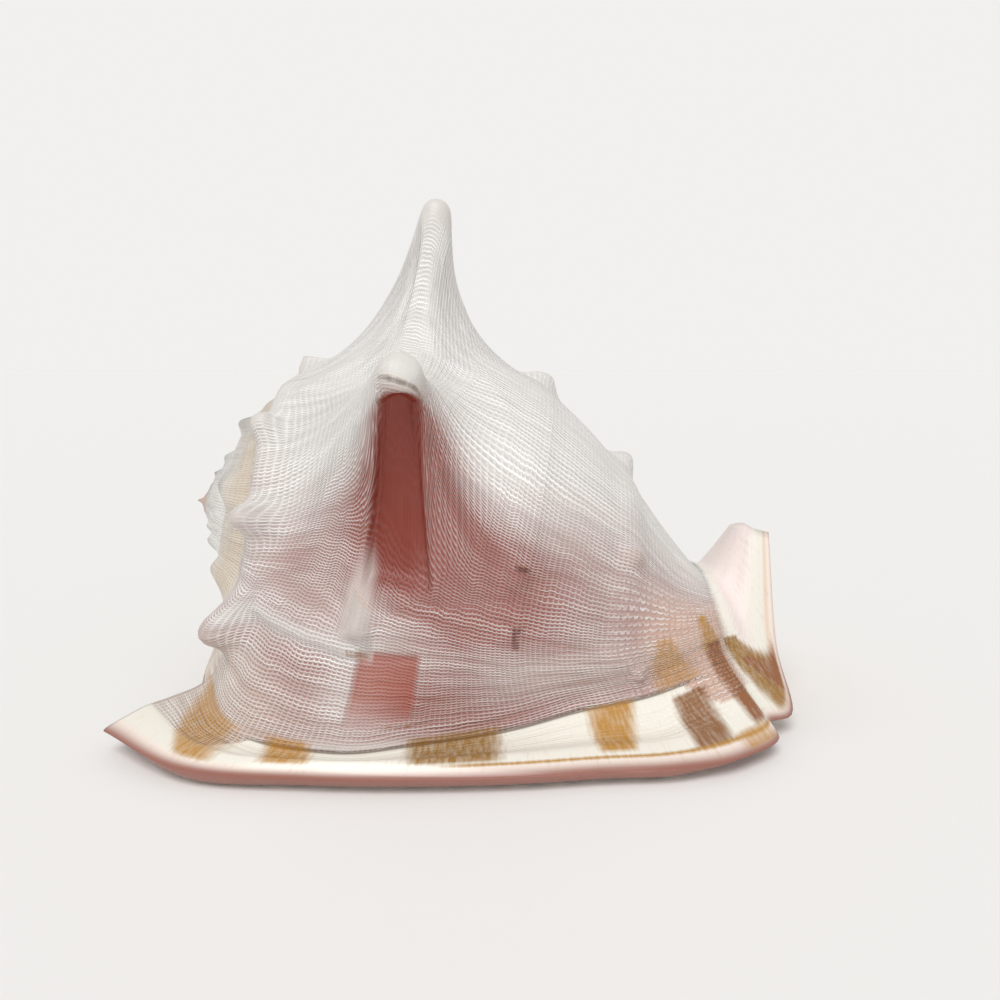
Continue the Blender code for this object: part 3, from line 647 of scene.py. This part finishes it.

# %% Blush, chalk and the reds of the hollows, partly painted reflection and shade
V_GUTTER_TOP = 0.262
blush_and_shade_angles, blush_and_shade_rows = zip(*BLUSH_REFLECTION_AND_SHADE_BY_ANGLE)
shown = np.clip(angle[:, 0], blush_and_shade_angles[0], blush_and_shade_angles[-1])
blush_reflection_and_shade = spline(blush_and_shade_angles, np.array(blush_and_shade_rows), shown)
blush_reflection_and_shade = spline(BLUSH_REFLECTION_AND_SHADE_PLACES, blush_reflection_and_shade.T, np.clip(along, 0, BLUSH_REFLECTION_AND_SHADE_PLACES[-1])).T
# Beside the gutter the blush is raised: painted shade on the flank there.
blush_reflection_and_shade = blush_reflection_and_shade + 0.9 * gutter_side * np.clip(1 - blush_reflection_and_shade, 0, 1)
horn_knob = ease((angle - 33) / 4) * ease((54 - angle) / 8) * bell((place - V_GUTTER_TOP) / 0.07)
gutter_fade = 1 - 0.7 * ease((place - 0.315) / 0.04) * ease((16 - angle) / 10)
# The lower hollow is tinted rose: painted red reflection and shade.
hollow_reflection_and_shade = lower_hollow * ease((angle + 27) / 12)
ledge = ease((1.3 - np.hypot((angle + 1) / 6, (place - 0.245) / 0.028)) / 0.8)
foot_band = ease((row_at - U_FOOT) / 0.002) * ease((-28 - angle) / 3)
foot_band = foot_band * ease((place - 0.2) / 0.03) * ease((0.5 - place) / 0.2)
# Under the rib the blush is deepened as painted shade.
shade_under_rib = rib.max() * on_rib * bell((angle - RIB_ANGLE + 4) / 3)
fan = ease((place - 0.66) / 0.1) * ease((30 - angle) / 25)
skirt = ease((-12 - angle) / 14) * ease((0.24 - place) / 0.1)
tint = layered(
    CHALK, (BLUSH_REFLECTION_AND_SHADE, np.clip(1.1 * blush_reflection_and_shade + 0.08, 0, 0.97)),
    (CHALK, horn_knob * (1 - 0.6 * gutter_side)),
    # The gutter's rose-brown is partly its own colour and partly painted red reflection and shade.
    (GUTTER_ROSE_REFLECTION_AND_SHADE, np.minimum(1.7 * gutter, 1) * gutter_fade), (HOLLOW_ROSE_REFLECTION_AND_SHADE, 0.82 * hollow_reflection_and_shade),
    (CHALK, np.maximum(0.5 * ledge, 0.6 * foot_band)),
    # The rib's crest is whitened as a painted highlight.
    (CHALK, 0.6 * bell((angle - RIB_ANGLE - 1) / 2.5) * (rib > 0)),
    (BLUSH_REFLECTION_AND_SHADE, 0.35 * shade_under_rib), (FAN_BEIGE, 0.5 * fan), (BEIGE, 0.35 * skirt))
whitening = (0.95 - 0.6 * np.clip(blush_reflection_and_shade, 0, 1.1)) * (1 - 0.5 * hollow_reflection_and_shade) * (1 - 0.35 * fan)
print("blushing share:", round(float((blush_reflection_and_shade > 0.5).mean()), 3))

# %% Cream of the strip, the blade and the rim, with painted shade on the rim
# The skirt at the spire end has no step, so there the net runs out over the flange.
# So does the fan beside the canal.
SKIRT_END, FAN_START, FADE, U_SKIRT, U_FAN = 0.165, 0.74, 0.04, 0.045, 0.06
V_POLISH, V_BLADE, U_RIM_LINE = 0.83, 0.86, 0.021
foot_line = (U_FOOT - (U_FOOT - U_SKIRT) * ease((SKIRT_END - place) / FADE)
             - (U_FOOT - U_FAN) * ease((place - FAN_START) / FADE))
on_strip = ease((foot_line + 0.001 - row_at) / 0.002)
on_blade = ease((place - V_BLADE) / FADE)
# The rim's lower edge is rose: partly its own colour, partly painted shade and red reflection; it
# fades towards the canal.
rim_shade_and_reflection = 0.9 * ease((0.019 - row_at) / 0.015) * (1 - 0.7 * ease((place - 0.9) / 0.05))
tint = layered(
    tint, (CREAM, np.maximum(on_strip, ease((place - V_POLISH) / FADE))),
    (BLADE, on_blade * ease((row_at - 0.06) / 0.1)),
    (FAN_BEIGE, 0.5 * on_blade * bell((row_at - 0.032) / 0.016)),
    (ENAMEL, ease((U_RIM_LINE - row_at) / 0.002)), (LIP_ROSE_SHADE_AND_REFLECTION, rim_shade_and_reflection))
print("share of the strip:", round(float(on_strip.mean()), 3))

# %% Bars and patches of pigment, and painted shade under the knob and along the step
STAINS_AND_SHADE = (
    # colour, strength, angle and place at the top, at the foot, half widths there, softness
    (OCHRE, 0.9, (-30, 0.07), (-60, 0.129), (0.07, 0.023), 0.9),
    (OCHRE, 0.9, (-30, 0.203), (-58, 0.23), (0.025, 0.026), 0.8),
    (OLIVE, 0.9, (-30, 0.421), (-58, 0.426), (0.061, 0.051), 0.5),
    (OCHRE, 0.95, (-33, 0.626), (-57, 0.613), (0.031, 0.02), 0.8),
    (GREY_BROWN, 0.95, (-37, 0.745), (-59, 0.732), (0.028, 0.027), 0.5),
    (OCHRE, 0.85, (12, 0.792), (-18, 0.806), (0.008, 0.02), 0.9),
    (UMBER, 1, (-10, 0.806), (-58, 0.812), (0.016, 0.015), 0.8),
    (OLIVE, 0.95, (-11, 0.857), (-61, 0.902), (0.016, 0.03), 0.4),
    (UMBER, 1, (-30, 0.874), (-61, 0.915), (0.01, 0.022), 0.8),
    (OCHRE, 0.7, (2, 0.728), (-33, 0.735), (0.01, 0.042), 1),
    (OCHRE, 1, (-59.2, 0.63), (-60, 0.63), (0.21, 0.21), 0.3),
    (OCHRE, 0.65, (-58, 0.79), (-64, 0.79), (0.024, 0.024), 0.9),
    (DULL_CHALK, 0.85, (-0.5, 0.25), (-7.8, 0.27), (0.021, 0.018), 0.35),
    (UMBER, 0.6, (-8.5, 0.262), (-10, 0.262), (0.02, 0.02), 0.8),
    (UMBER, 0.9, (-24, 0.33), (-25, 0.33), (0.003, 0.003), 1),
    (UMBER, 0.8, (-25, 0.346), (-26, 0.346), (0.004, 0.004), 1),
    (UMBER, 0.9, (-24.5, 0.359), (-26, 0.359), (0.004, 0.004), 1),
    # A dark arc under the horn's knob, above the gutter, is painted shade.
    (PAINTED_SHADOW_BROWN, 0.65, (37.6, 0.262), (36.4, 0.262), (0.04, 0.04), 1),
    (RUSSET, 1, (16.5, 0.505), (14.8, 0.505), (0.013, 0.008), 1.2),
    (RUSSET, 0.9, (4, 0.513), (2.5, 0.513), (0.012, 0.007), 1.2),
    (RUSSET, 0.8, (2.5, 0.51), (-2, 0.515), (0.005, 0.007), 1.2),
)
stain_and_shade = np.tile((*OCHRE, 0), (*tint.shape[:2], 1))
for colour, strength, (angle_a, place_a), (angle_b, place_b), halves, soft in STAINS_AND_SHADE:
    part = (angle_a - angle) / (angle_a - angle_b)
    down = np.clip(part, 0, 1)
    middle = place_a + (place_b - place_a) * down
    half = halves[0] + (halves[1] - halves[0]) * down
    share = ease((1 + soft / 2 - np.abs(place - middle) / half) / soft)
    share = strength * share * ease(0.5 + part * 10) * ease(0.5 + (1 - part) * 10)
    stain_and_shade[..., :3] = np.where((share > stain_and_shade[..., 3])[..., None], colour, stain_and_shade[..., :3])
    stain_and_shade[..., 3] = np.maximum(stain_and_shade[..., 3], share)
# A dark line along the body's foot is painted shadow under its overhanging edge.
tint = layered(tint, (PAINTED_SHADOW_BROWN, 0.95 * bell((row_at - U_FOOT) / 0.0022) * along_step))
print("stained share:", round(float((stain_and_shade[..., 3] > 0.5).mean()), 3))

# %% Finish: net, threads, beads and gloss at each place
# The lengths that the growth lines and the threads are spread over.
LINES_MM, THREADS_MM = 582.0, 300.0
KNOB_WIDTH = 1.8


def along_horn(at_angle, half, rise_mm, reach, before, after):
    """How far the growth lines climb beside a horn, in mm."""
    middle = V_HORNS + 0.012 + 0.044 * np.clip((37 - angle) / 35, 0, 1)
    beside = np.maximum(np.abs(place - middle) - half, 0)
    up = ease((angle - at_angle + before) / before) * ease((at_angle + after - angle) / after)
    return rise_mm * np.exp(-beside / reach) * up


off_lip = ease((row_at - 0.03) / 0.02)
smooth_blade = 1 - 0.6 * ease((place - 0.88) / 0.04)
body = (1 - on_strip) * ease((0.88 - place) / 0.04)
horn_tips = np.clip(ease((upper[..., 2] - 212) / 10) + horn_knob, 0, 1)
for at_angle, at_place, knob_height, radius, _, _ in KNOBS:
    on_knob = np.hypot((angle - at_angle) * KNOB_WIDTH, (place - at_place) * THREADS_MM) / radius
    horn_tips = np.maximum(horn_tips, np.clip(knob_height / 8, 0, 1) * bell(on_knob * 2.2))
smooth_gutter = np.minimum(1.4 * gutter, 1) * gutter_fade * (0.6 + 0.2 * ease((angle - 6) / 6))
net = np.maximum(body, 0.3 * off_lip * smooth_blade) * (1 - smooth_gutter) * (1 - 0.75 * horn_tips)
net = net * (1 - 0.6 * ledge) * (1 - 0.35 * lower_hollow) * (1 - 0.5 * foot_band)
net = net * ease((1.02 - row_at) / 0.1) * ease((place + 0.004) / 0.014)
thread = 0.72 + 0.13 * ease((0.26 - place) / 0.08) * ease((12 - angle) / 20)
beads = ease((place - 0.61) / 0.1) * ease((0.88 - place) / 0.03) * ease((30 - angle) / 20)
gloss = np.maximum(1 - off_lip, 0.5 * ease((place - 0.84) / 0.02))
gloss = np.maximum(gloss, 0.4 * np.clip(gutter + horn_tips, 0, 1))
climb_mm = (along_horn(41, 0.055, 18, 0.04, 39, 32) + along_horn(41, 0.055, 36, 0.25, 40, 60)
            + along_horn(92, 0.04, 30, 0.06, 45, 60))
print("mean share of the net:", round(float(net.mean()), 3))

# %% Growth lines, and how crowded or drawn out they are
growth_mm = row_at * LINES_MM - climb_mm
thread_mm = place * THREADS_MM
across_mm = np.linalg.norm(np.gradient(upper, axis=0), axis=-1)
along_mm = np.linalg.norm(np.gradient(upper, axis=1), axis=-1)
crowding = np.hypot(np.gradient(growth_mm, axis=0) / np.maximum(across_mm, 0.05),
                    np.gradient(growth_mm, axis=1) / np.maximum(along_mm, 0.05))
stretch = smooth_gutter + (1 - smooth_gutter) / np.maximum(crowding, 0.1)
horn_front = bell((place - V_HORNS) / 0.06) * ease((angle - 50) / 8) * ease((100 - angle) / 8)
stretch = stretch + (1.2 - stretch) * horn_front
white_side = ease((angle - 27) / 10) * ease((80 - angle) / 10)
white_side = white_side * ease((place - 0.34) / 0.05) * ease((0.68 - place) / 0.06)
stretch = stretch + (0.45 - stretch) * white_side
print("growth lines, mm:", growth_mm.min(), "to", growth_mm.max())

# %% Colours and finish of the underside and the spire
DEEP, SHIELD_ENAMEL, TOOTH_WHITE = (linear(c) for c in ("C98E62", "EBC8A4", "F4EBDD"))
SPIRE_THREADS_MM = 75
# Near the lip the underside takes the rim's rose, with its painted shade and red reflection.
under_tint = layered(
    np.tile(SHIELD_ENAMEL, (*lower.shape[:2], 1)), (DEEP, bell((row_at - 0.42) / 0.34)),
    (ENAMEL, ease((0.14 - row_at) / 0.05)), (LIP_ROSE_SHADE_AND_REFLECTION, 0.85 * ease((0.06 - row_at) / 0.03)))
under_tint[0] = tint[0]
toothed = bell((row_at - U_TEETH) / 0.03) + bell((row_at - U_FOLDS) / 0.04)
under_tint = layered(under_tint, (TOOTH_WHITE, toothed * ease(swelling + 0.5)))
ring_parts = np.array(ring_parts)[:, None]
spire_net = 0.7 * ease((1 - ring_parts) * 15) * ease(ring_parts * 4)
spire_tint = layered(CHALK, (BEIGE, 0.8 * bell((ring_parts - 0.86) / 0.2)),
                     (RUST, 0.55 * ease((0.24 - ring_parts) / 0.18)))
ring_growth = np.concatenate([
    growth_mm[ring_rows, 0], (1.82 - across[ring_lower] * 0.3) * LINES_MM,
    growth_mm[ring_rows[:1], 0]])
print("underside coloured:", under_tint.shape)

# %% [markdown]
# ## From places to a mesh
# Each sheet starts as a primitive grid with the right number of divisions, and its
# vertices are moved to their places. The sheets are joined, bridged along their open ends
# and merged, which closes the shell.

# %% Laying a sheet down as a grid
# How wide values are stored: the kind of attribute, its field and its numbers.
KINDS = {1: ("INT", "value", int), 3: ("FLOAT_VECTOR", "vector", float),
         4: ("FLOAT_COLOR", "color", float)}


def stacked(*layers):
    """Values for each point, side by side; a layer may be one number or one row."""
    return np.stack(np.broadcast_arrays(*layers), axis=-1)


def lay_grid(name, points, growth, finish, colours, stains_and_shade=(0, 0, 0, 0), seams=0):
    """A primitive grid moved to points, with what the material reads stored on it."""
    rows, columns = points.shape[:2]
    bpy.ops.mesh.primitive_grid_add(x_subdivisions=columns - 1, y_subdivisions=rows - 1, size=1)
    sheet = bpy.context.object
    sheet.name = name
    mesh = sheet.data
    flat = np.zeros(len(mesh.vertices) * 3)
    mesh.vertices.foreach_get("co", flat)
    flat = flat.reshape(-1, 3).round(6)
    order = np.lexsort((flat[:, 0], flat[:, 1]))
    placed = np.empty_like(flat)
    placed[order] = points.reshape(-1, 3) * MM
    mesh.vertices.foreach_set("co", placed.ravel())
    for attribute, width, values in (
            ("growth", 3, growth), ("finish", 4, finish), ("tint", 4, colours),
            ("stain_and_shade", 4, stains_and_shade), ("seam", 1, seams)):
        kind, field, number = KINDS[width]
        ordered = np.empty((len(order), width), number)
        ordered[order] = np.broadcast_to(values, (rows, columns, width)).reshape(-1, width)
        stored = mesh.attributes.new(attribute, kind, "POINT")
        stored.data.foreach_set(field, ordered.ravel())
    return sheet


def with_alpha(colours, alpha):
    """Colours with a fourth number: how far the lines whiten the shell there."""
    return stacked(*np.moveaxis(colours, -1, 0), alpha)


print("kinds of values:", len(KINDS))

# %% The three sheets
CANAL_END, NEAR_EDGE, FAR_EDGE = 1, 2, 3
UNDER_FINISH, UNDER_WHITENING, SPIRE_WHITENING = (0.12, 0, 0, 0.9), 0.5, 0.7
seams = np.zeros(upper.shape[:2], int)
seams[:, -1] = CANAL_END
seams[:first_row + 1, 0] = NEAR_EDGE
seams[last_row:, 0] = FAR_EDGE
low_seams = seams.copy()
low_seams[last_row:far_corner, 0] = 0
whorl_sheet = lay_grid(
    "whorl", upper, stacked(growth_mm, thread_mm, stretch), stacked(net, thread, beads, gloss),
    with_alpha(tint, whitening), stain_and_shade, seams[..., None])
under_sheet = lay_grid(
    "underside", lower[lower_rows], stacked(growth_mm, thread_mm, 1.0)[lower_rows], UNDER_FINISH,
    with_alpha(under_tint, UNDER_WHITENING)[lower_rows], seams=low_seams[lower_rows, :, None])
spire_sheet = lay_grid(
    "spire", spire, stacked(ring_growth, SPIRE_THREADS_MM * (ring_parts - 1), ring_parts),
    stacked(spire_net, 0.8 * spire_net, 0, 0), with_alpha(spire_tint, SPIRE_WHITENING))
print("sheets:", whorl_sheet.name, under_sheet.name, spire_sheet.name)

# %% Joining, bridging and merging
set_mode = bpy.ops.object.mode_set
for sheet in (under_sheet, spire_sheet, whorl_sheet):
    sheet.select_set(True)
bpy.context.view_layer.objects.active = whorl_sheet
bpy.ops.object.join()
shell = whorl_sheet
shell.name = "horned_helmet_shell"
mesh = shell.data
for end_mark in (CANAL_END, NEAR_EDGE, FAR_EDGE):
    marks = np.zeros(len(mesh.vertices), int)
    mesh.attributes["seam"].data.foreach_get("value", marks)
    set_mode(mode="EDIT")
    bpy.ops.mesh.select_mode(type="EDGE")
    bpy.ops.mesh.select_all(action="DESELECT")
    set_mode(mode="OBJECT")
    ends = np.zeros(len(mesh.edges) * 2, int)
    mesh.edges.foreach_get("vertices", ends)
    chosen = (marks[ends.reshape(-1, 2)] == end_mark).all(axis=1)
    mesh.edges.foreach_set("select", chosen)
    set_mode(mode="EDIT")
    bpy.ops.mesh.bridge_edge_loops()
    set_mode(mode="OBJECT")
set_mode(mode="EDIT")
bpy.ops.mesh.select_all(action="SELECT")
bpy.ops.mesh.remove_doubles(threshold=2e-6)
bpy.ops.mesh.normals_make_consistent(inside=False)
bpy.ops.mesh.select_non_manifold(extend=False)
set_mode(mode="OBJECT")
print("open edges:", sum(e.select for e in mesh.edges), " triangles:",
      sum(len(p.vertices) - 2 for p in mesh.polygons))

# %% [markdown]
# ## Standing on the floor
# A beach-worn shell rests on the few places of its lip and shield that have been rubbed
# flat. The lowest millimetre is pressed level, and the box's middle goes over the origin.

# %% Resting place
FLOOR_TRIM = 1.0
BOX_MIDDLE = (-0.0182, 0.001466)
co = np.zeros(len(mesh.vertices) * 3)
mesh.vertices.foreach_get("co", co)
co = co.reshape(-1, 3)
co[:, 2] = np.maximum(co[:, 2] - co[:, 2].min() - FLOOR_TRIM * MM, 0)
co[:, :2] -= BOX_MIDDLE
mesh.vertices.foreach_set("co", co.ravel())
mesh.update()
bpy.ops.object.shade_smooth()
print("shell box, mm:", (co.min(axis=0) * 1000).round(1), (co.max(axis=0) * 1000).round(1))

# %% [markdown]
# ## Shell as a material
# The shell is aragonite: chalky and matt where the outer layer has weathered, and close to
# porcelain where the mantle polished it, on the lip and the canal. Its net of growth lines
# and threads is finer than the mesh, so a bump makes it, at its real spacing. The crests
# of the lines are whiter than the blushing ground between them, partly from wear and
# partly as painted shade in the furrows.

# %% Aragonite: what the mesh tells the material
aragonite = bpy.data.materials.new("aragonite_shell")
aragonite.use_nodes = True
tree = aragonite.node_tree
surface = tree.nodes["Principled BSDF"]
FROM_MESH = ("growth", "finish", "tint", "stain_and_shade")
growth, finish, tinted, stained_and_shaded = (
    add_node(tree, "ShaderNodeAttribute", {"attribute_name": name}).outputs for name in FROM_MESH)
line_at, thread_at, stretched = add_node(
    tree, "ShaderNodeSeparateXYZ", {}, {0: growth["Vector"]}).outputs
net_share, thread_share, bead_share = add_node(
    tree, "ShaderNodeSeparateColor", {}, {0: finish["Color"]}).outputs
gloss_share = finish["Alpha"]


def maths(operation, *inputs, clamp=False):
    """One step of sums; each input is a number or the output of another node."""
    numbers = {i: x for i, x in enumerate(inputs) if isinstance(x, (int, float))}
    sockets = {i: x for i, x in enumerate(inputs) if i not in numbers}
    settings = {"operation": operation, "use_clamp": clamp, **numbers}
    return add_node(tree, "ShaderNodeMath", settings, sockets).outputs[0]


def ranged(value, low, high, to_low=0.0, to_high=1.0):
    """A value between low and high, stretched to lie between to_low and to_high."""
    settings = {1: low, 2: high, 3: to_low, 4: to_high}
    return add_node(tree, "ShaderNodeMapRange", settings, {0: value}).outputs[0]


def growth_noise(scale, **settings):
    """Noise that follows the growth: its scale across the lines, across the threads."""
    at = add_node(tree, "ShaderNodeMapping", {"Scale": scale}, {"Vector": growth["Vector"]})
    noise = add_node(tree, "ShaderNodeTexNoise", {"Scale": 1.0, **settings},
                     {"Vector": at.outputs[0]})
    return noise.outputs["Fac"]


def blend_nets(share, first, second):
    """Second net where share is 1, first net where it is 0."""
    return add_node(tree, "ShaderNodeMix", {"data_type": "FLOAT"},
                    {0: share, 2: first, 3: second}).outputs[0]


print("read from the mesh:", FROM_MESH)

# %% Aragonite: net of growth lines and spiral threads
LINE_PITCH_MM, THREAD_PITCH_MM = 1.3, 2.2
BEAD_PITCH_MM, BEAD_LENGTH_MM = 3.4, 2.8
CROWDED, DRAWN_OUT = (0.75, 0.5), (1.2, 1.6)
# The edge never grew quite straight, so noise bends the lines by about a millimetre.
bend_mm = maths("MULTIPLY_ADD", growth_noise((0.05, 0.05, 0.05), Detail=3.0, Roughness=0.45),
                5.0, -2.5)
waver_mm = maths("MULTIPLY_ADD", growth_noise((0.1, 0.14, 0.0), Detail=2.0), 1.1, -0.55)
bent = maths("ADD", maths("ADD", line_at, bend_mm), waver_mm)
loose = maths("MULTIPLY_ADD", bead_share, 2.5, 1.0)
across_threads = maths("MULTIPLY_ADD", waver_mm, loose, thread_at)


def net_height(line_pitch, thread_pitch, sag_mm, beaded=False):
    """Height from 0 to 1 of a net whose lines sag between the threads, or break into beads."""
    swell = maths("SINE", maths("MULTIPLY", across_threads, np.pi / thread_pitch))
    swell = maths("ABSOLUTE", swell)
    line = maths("MULTIPLY_ADD", swell, sag_mm, bent)
    line = maths("SINE", maths("MULTIPLY", line, 2 * np.pi / line_pitch))
    line = maths("MULTIPLY_ADD", line, 0.5, 0.5)
    if beaded:
        # Beads run together into short chains in some places and fade in others.
        uneven = growth_noise((0.3, 0.2, 0.0), Detail=2.0)
        joined = maths("ADD", swell, ranged(uneven, 0.44, 0.62, 0.0, 0.6))
        bead = maths("MULTIPLY", line, ranged(joined, 0.05, 0.65))
        return maths("MULTIPLY", bead, ranged(uneven, 0.3, 0.55, 0.5))
    ridge = maths("MULTIPLY", maths("SUBTRACT", 1.0, swell), thread_share)
    return maths("MAXIMUM", line, ridge)


wide_net = net_height(LINE_PITCH_MM * 2, THREAD_PITCH_MM, 0.4)
fine_net = net_height(LINE_PITCH_MM, THREAD_PITCH_MM, 0.3)
close_net = net_height(LINE_PITCH_MM / 2, THREAD_PITCH_MM, 0.1)
bead_net = net_height(BEAD_PITCH_MM, BEAD_LENGTH_MM, 1.1, beaded=True)
net_relief = blend_nets(ranged(stretched, *CROWDED), fine_net, wide_net)
net_relief = blend_nets(ranged(stretched, *DRAWN_OUT), net_relief, close_net)
net_relief = blend_nets(bead_share, net_relief, bead_net)
ridge_share = maths("MULTIPLY", net_relief, net_share)
print("nodes that make the nets:", len(tree.nodes))

# %% Aragonite: colour
RIDGE_WHITE = (*linear("FCFCFA"), 1)
# Broad growth folds, about 4 mm apart and ten times as long, under the net. Lines on
# their crests are whiter.
folds = growth_noise((0.25, 0.025, 0.0), Detail=2.0)
# Crests are mixed towards white by their height: partly wear, partly painted shade left in the
# furrows.
whiter = maths("MULTIPLY", maths("POWER", ridge_share, 2.1), tinted["Alpha"])
whiter = maths("MULTIPLY", whiter, ranged(folds, 0.35, 0.65, 0.55, 1.3), clamp=True)
ground = add_node(tree, "ShaderNodeMix", {"data_type": "RGBA", 7: RIDGE_WHITE},
                  {0: whiter, 6: tinted["Color"]})
# Pigment streaks run down the threads and break up the edges of the bars.
streaks = growth_noise((0.08, 0.6, 0.0), Detail=3.0, Roughness=0.6)
ragged = maths("ADD", maths("MULTIPLY_ADD", streaks, 0.9, -0.45), stained_and_shaded["Alpha"])
ragged = maths("MULTIPLY_ADD", ridge_share, -0.25, ragged)
colour = add_node(tree, "ShaderNodeMix", {"data_type": "RGBA"},
                  {0: ranged(ragged, 0.05, 0.98, 0.0, 0.98), 6: ground.outputs[2],
                   7: stained_and_shaded["Color"]})
print("nodes with the colour:", len(tree.nodes))

# %% Aragonite: gloss and bump
BEAD_MM, NET_MM = 0.44, 0.34
roughness = ranged(gloss_share, 0.0, 1.0, 0.5, 0.2)
net_mm = maths("MULTIPLY_ADD", bead_share, BEAD_MM - NET_MM, NET_MM)
net_mm = maths("MULTIPLY", ridge_share, net_mm)
fold_mm = maths("MULTIPLY", maths("MULTIPLY_ADD", folds, 1.6, -0.8), net_share)
bump = add_node(tree, "ShaderNodeBump", {"Strength": 1.0, "Distance": MM},
                {"Height": maths("ADD", net_mm, fold_mm)})
for socket, name in ((colour.outputs[2], "Base Color"), (roughness, "Roughness"),
                     (bump.outputs[0], "Normal")):
    tree.links.new(socket, surface.inputs[name])
mesh.materials.append(aragonite)
print("material nodes:", len(tree.nodes))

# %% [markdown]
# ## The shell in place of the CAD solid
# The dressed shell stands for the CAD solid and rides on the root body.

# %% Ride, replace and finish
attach(shell, "root")
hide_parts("shell")
